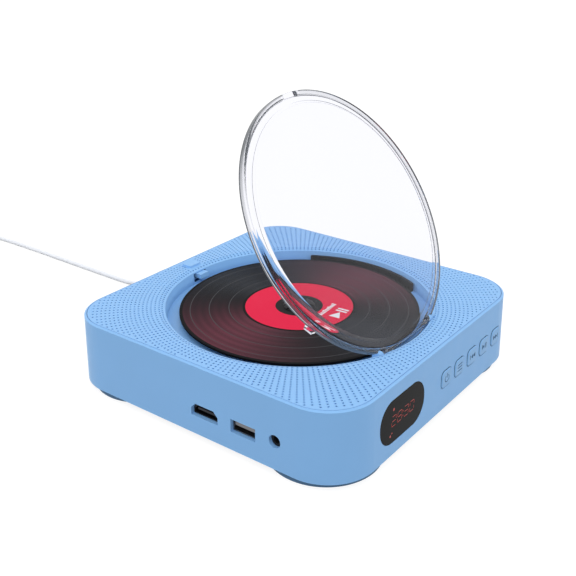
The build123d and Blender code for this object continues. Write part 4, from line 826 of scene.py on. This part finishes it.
socket_look("hdmi_socket", socket_dark)
socket_look("usb_socket", socket_steel)
socket_look("audio_jack", black_plastic)

# ---------------------------------------------------------------- buttons with engraved signs
def arc(radius, width, start, end, count=14):
    """Outline of a curved bar; angles run clockwise from the top."""
    outer = []
    for step in range(count + 1):
        angle = start + (end - start) * step / count
        outer.append((radius * sin(angle), radius * cos(angle)))
    inner = [((radius - width) * u / radius, (radius - width) * v / radius) for u, v in outer]
    return inner + outer[::-1]


def triangle(x, size, way=1):
    """Outline of a triangle that points right, or left where `way` is -1."""
    back, tip, half = x - way * size * 0.5, x + way * size * 0.5, size * 0.6
    points = [(back, -half), (tip, 0.0), (back, half)]
    return points if way > 0 else points[::-1]


signs = {
    "button_power": [arc(1.7, 0.36, radians(38), radians(322)), box_of(-0.18, 0.2, 0.18, 2.2)],
    "button_mode": [
        box_of(-1.8, 1.1, 1.8, 1.5), box_of(-1.8, -0.2, 1.8, 0.2), box_of(-1.8, -1.5, 1.8, -1.1),
    ],
    "button_previous": [
        triangle(-0.3, 1.7, -1), triangle(1.45, 1.7, -1), box_of(-1.85, -1.0, -1.5, 1.0),
    ],
    "button_play": [
        triangle(-0.9, 2.0), box_of(0.55, -1.2, 0.95, 1.2), box_of(1.45, -1.2, 1.85, 1.2),
    ],
    "button_next": [
        triangle(-1.45, 1.7), triangle(0.3, 1.7), box_of(1.5, -1.0, 1.85, 1.0),
    ],
}
first_button_y, button_pitch, button_z = 4, 13, 19.3
sign_scale, sign_depth = 1.25, 0.22
flank_index = 2
for index, (name, sign) in enumerate(signs.items()):
    y = first_button_y + button_pitch * index
    button = copy_of(name, name + "_cap", button_blue, sign_blue, gap_shade)
    outlines = [[(u * sign_scale, v * sign_scale) for u, v in points] for points in sign]
    tool = prisms(
        "tool", outlines, -sign_depth, 0.5,
        lambda u, v, w: (case_half + w, y + u, button_z + v), sign_blue, sign_blue,
    )
    combine(button, tool)
    # The flanks stand in the gap round the button and take painted shade
    for face in button.data.polygons:
        if face.normal.x < 0.3 and button.data.materials[face.material_index] == button_blue:
            face.material_index = flank_index
    crisp(button)
    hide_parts(name)
    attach(button, name)

# ---------------------------------------------------------------- power lead, coiled at its end
coil_x, coil_y = -311.0, -5.0
lay_z, inner_ring, pitch = 1.7, 11.4, 2.8
coil_step, coil_end, change_over = 22.5, 3950, 90.0
rows = [lay_z + level * pitch for level in range(3)]
rings = [inner_ring + column * pitch for column in range(4)]
# Degrees turned when the cord starts to move to another turn, and that turn's ring and row
stages = [
    (0, 3, 0), (315, 2, 0), (675, 1, 0), (1035, 0, 0),
    (1350, 0, 1), (1665, 1, 1), (2025, 2, 1), (2385, 3, 1),
    (2700, 3, 2), (3015, 2, 2), (3375, 1, 2), (3735, 0, 2),
]


def around(turned, radius, height):
    """Control point of the coil; the angle grows anticlockwise from the coil's +Y side."""
    angle = radians(90 + turned)
    # The spline runs inside its control points, so they stand a little further out
    grown = radius / cos(pi / 16) ** 0.5
    return (coil_x + grown * cos(angle), coil_y + grown * sin(angle), height)


def lie(turned):
    """Radius and height of the coil where it has turned so far, eased from stage to stage."""
    ring, row = rings[3], rows[0]
    for (start, column, level), (_, old_column, old_level) in zip(stages[1:], stages):
        if turned > start:
            part = min((turned - start) / change_over, 1.0)
            part = part * part * (3 - 2 * part)
            ring = rings[old_column] + (rings[column] - rings[old_column]) * part
            row = rows[old_level] + (rows[level] - rows[old_level]) * part
    return ring, row


route = [
    (-106.6, 18.0, 19.4), (-112.5, 18.0, 18.6), (-122.0, 18.0, 11.8), (-132.0, 18.0, 4.8),
    (-144.0, 18.0, 1.45), (-172.0, 18.05, 1.45), (-205.0, 18.2, 1.45), (-250.0, 18.5, 1.45),
    (-280.0, 17.4, 1.45), (-297.0, 16.2, 1.5),
]
turned = 0.0
while turned < coil_end:
    route.append(around(turned, *lie(turned)))
    turned += coil_step
# The end climbs out over the top of the turns on the -X side and comes down outside them
top = rows[2] + pitch
route += [
    around(3960, 11.5, top - 2.5), around(3982, 11.9, top - 1.8), around(4005, 12.6, top - 0.9),
    around(4027, 13.9, top - 0.2), around(4048, 15.8, top), around(4066, 18.2, top),
]
route += [
    (-329.6, -14.8, top), (-328.3, -22.0, 8.4), (-326.6, -31.0, 5.2), (-325.7, -43.0, 3.7),
    (-325.6, -56.0, 3.6),
]

cord_data = bpy.data.curves.new("power_lead", "CURVE")
cord_data.dimensions = "3D"
line = cord_data.splines.new("NURBS")
line.points.add(len(route) - 1)
for point, place in zip(line.points, route):
    point.co = (*(Vector(place) * MM), 1.0)
line.order_u = 3
line.use_endpoint_u = True
line.resolution_u = 6
cord_data.bevel_depth = 0.0014
cord_data.bevel_resolution = 5
cord_data.use_fill_caps = True
cord_data.materials.append(cord_white)
cord = bpy.data.objects.new("power_lead", cord_data)
bpy.context.scene.collection.objects.link(cord)
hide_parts("power_cord", "cord_coil", "power_cord_tail")
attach(cord, "base")

# ---------------------------------------------------------------- floor, backdrop and light
def stage_look():
    """Pale floor: nearly white to the eye, with the object's own soft shadow."""
    look = Look("floor")
    path = look.node("ShaderNodeLightPath").outputs
    through = look.math("MAXIMUM", path["Is Glossy Ray"], path["Is Transmission Ray"])
    seen = look.math("MAXIMUM", path["Is Camera Ray"], through)
    glow = look.node("ShaderNodeEmission")
    glow.inputs["Color"].default_value = (1.0, 1.0, 1.0, 1.0)
    glow.inputs["Strength"].default_value = 0.86
    matt = look.node("ShaderNodeBsdfDiffuse")
    matt.inputs["Color"].default_value = (0.24, 0.24, 0.24, 1.0)
    bounce = look.node("ShaderNodeBsdfDiffuse")
    bounce.inputs["Color"].default_value = (0.16, 0.165, 0.17, 1.0)
    both = look.node("ShaderNodeAddShader")
    look.link(glow.outputs[0], both.inputs[0])
    look.link(matt.outputs[0], both.inputs[1])
    mixed = look.node("ShaderNodeMixShader")
    look.link(seen, mixed.inputs[0])
    look.link(bounce.outputs[0], mixed.inputs[1])
    look.link(both.outputs[0], mixed.inputs[2])
    return look.finish(mixed.outputs[0])


floor_half = 6000
floor_points = [(x, y, 0) for x, y in box_of(-floor_half, -floor_half, floor_half, floor_half)]
floor = new_piece("floor", floor_points, [[0, 1, 2, 3]], stage_look())

world = bpy.data.worlds.new("studio")
bpy.context.scene.world = world
world.use_nodes = True
tree = world.node_tree
tree.nodes.clear()


def sky(strength):
    """Add a white background light."""
    made = tree.nodes.new("ShaderNodeBackground")
    made.inputs["Color"].default_value = (1.0, 1.0, 1.0, 1.0)
    made.inputs["Strength"].default_value = strength
    return made


def larger_of(first, second):
    """The larger of two outputs."""
    made = tree.nodes.new("ShaderNodeMath")
    made.operation = "MAXIMUM"
    tree.links.new(first, made.inputs[0])
    tree.links.new(second, made.inputs[1])
    return made.outputs[0]


# The sky is brightest at the horizon, so that the case's walls stay light
lit_sky, white_sky = sky(1.0), sky(1.0)
sky_split = tree.nodes.new("ShaderNodeSeparateXYZ")
sky_level = tree.nodes.new("ShaderNodeMapRange")
sky_level.inputs["To Min"].default_value = 1.63
sky_level.inputs["To Max"].default_value = 0.77
tree.links.new(tree.nodes.new("ShaderNodeTexCoord").outputs["Generated"], sky_split.inputs[0])
tree.links.new(sky_split.outputs["Z"], sky_level.inputs["Value"])
tree.links.new(sky_level.outputs[0], lit_sky.inputs["Strength"])
# The eye, mirrors and glass see plain white
path = tree.nodes.new("ShaderNodeLightPath").outputs
seen = larger_of(path["Is Glossy Ray"], path["Is Transmission Ray"])
seen = larger_of(seen, path["Is Camera Ray"])
mix = tree.nodes.new("ShaderNodeMixShader")
output = tree.nodes.new("ShaderNodeOutputWorld")
tree.links.new(seen, mix.inputs[0])
tree.links.new(lit_sky.outputs[0], mix.inputs[1])
tree.links.new(white_sky.outputs[0], mix.inputs[2])
tree.links.new(mix.outputs[0], output.inputs["Surface"])


def softbox(name, place, target, size, watts):
    """Rectangular lamp that faces a target."""
    data = bpy.data.lights.new(name, "AREA")
    data.shape = "RECTANGLE"
    data.size, data.size_y = size
    data.energy = watts
    made = bpy.data.objects.new(name, data)
    bpy.context.scene.collection.objects.link(made)
    made.location = place
    made.rotation_euler = (Vector(target) - Vector(place)).to_track_quat("-Z", "Y").to_euler()


softbox("key", place=(0.1, -0.6, 1.3), target=(0.0, 0.0, 0.03), size=(0.9, 0.9), watts=1.6)

bpy.context.scene.view_settings.view_transform = "Standard"
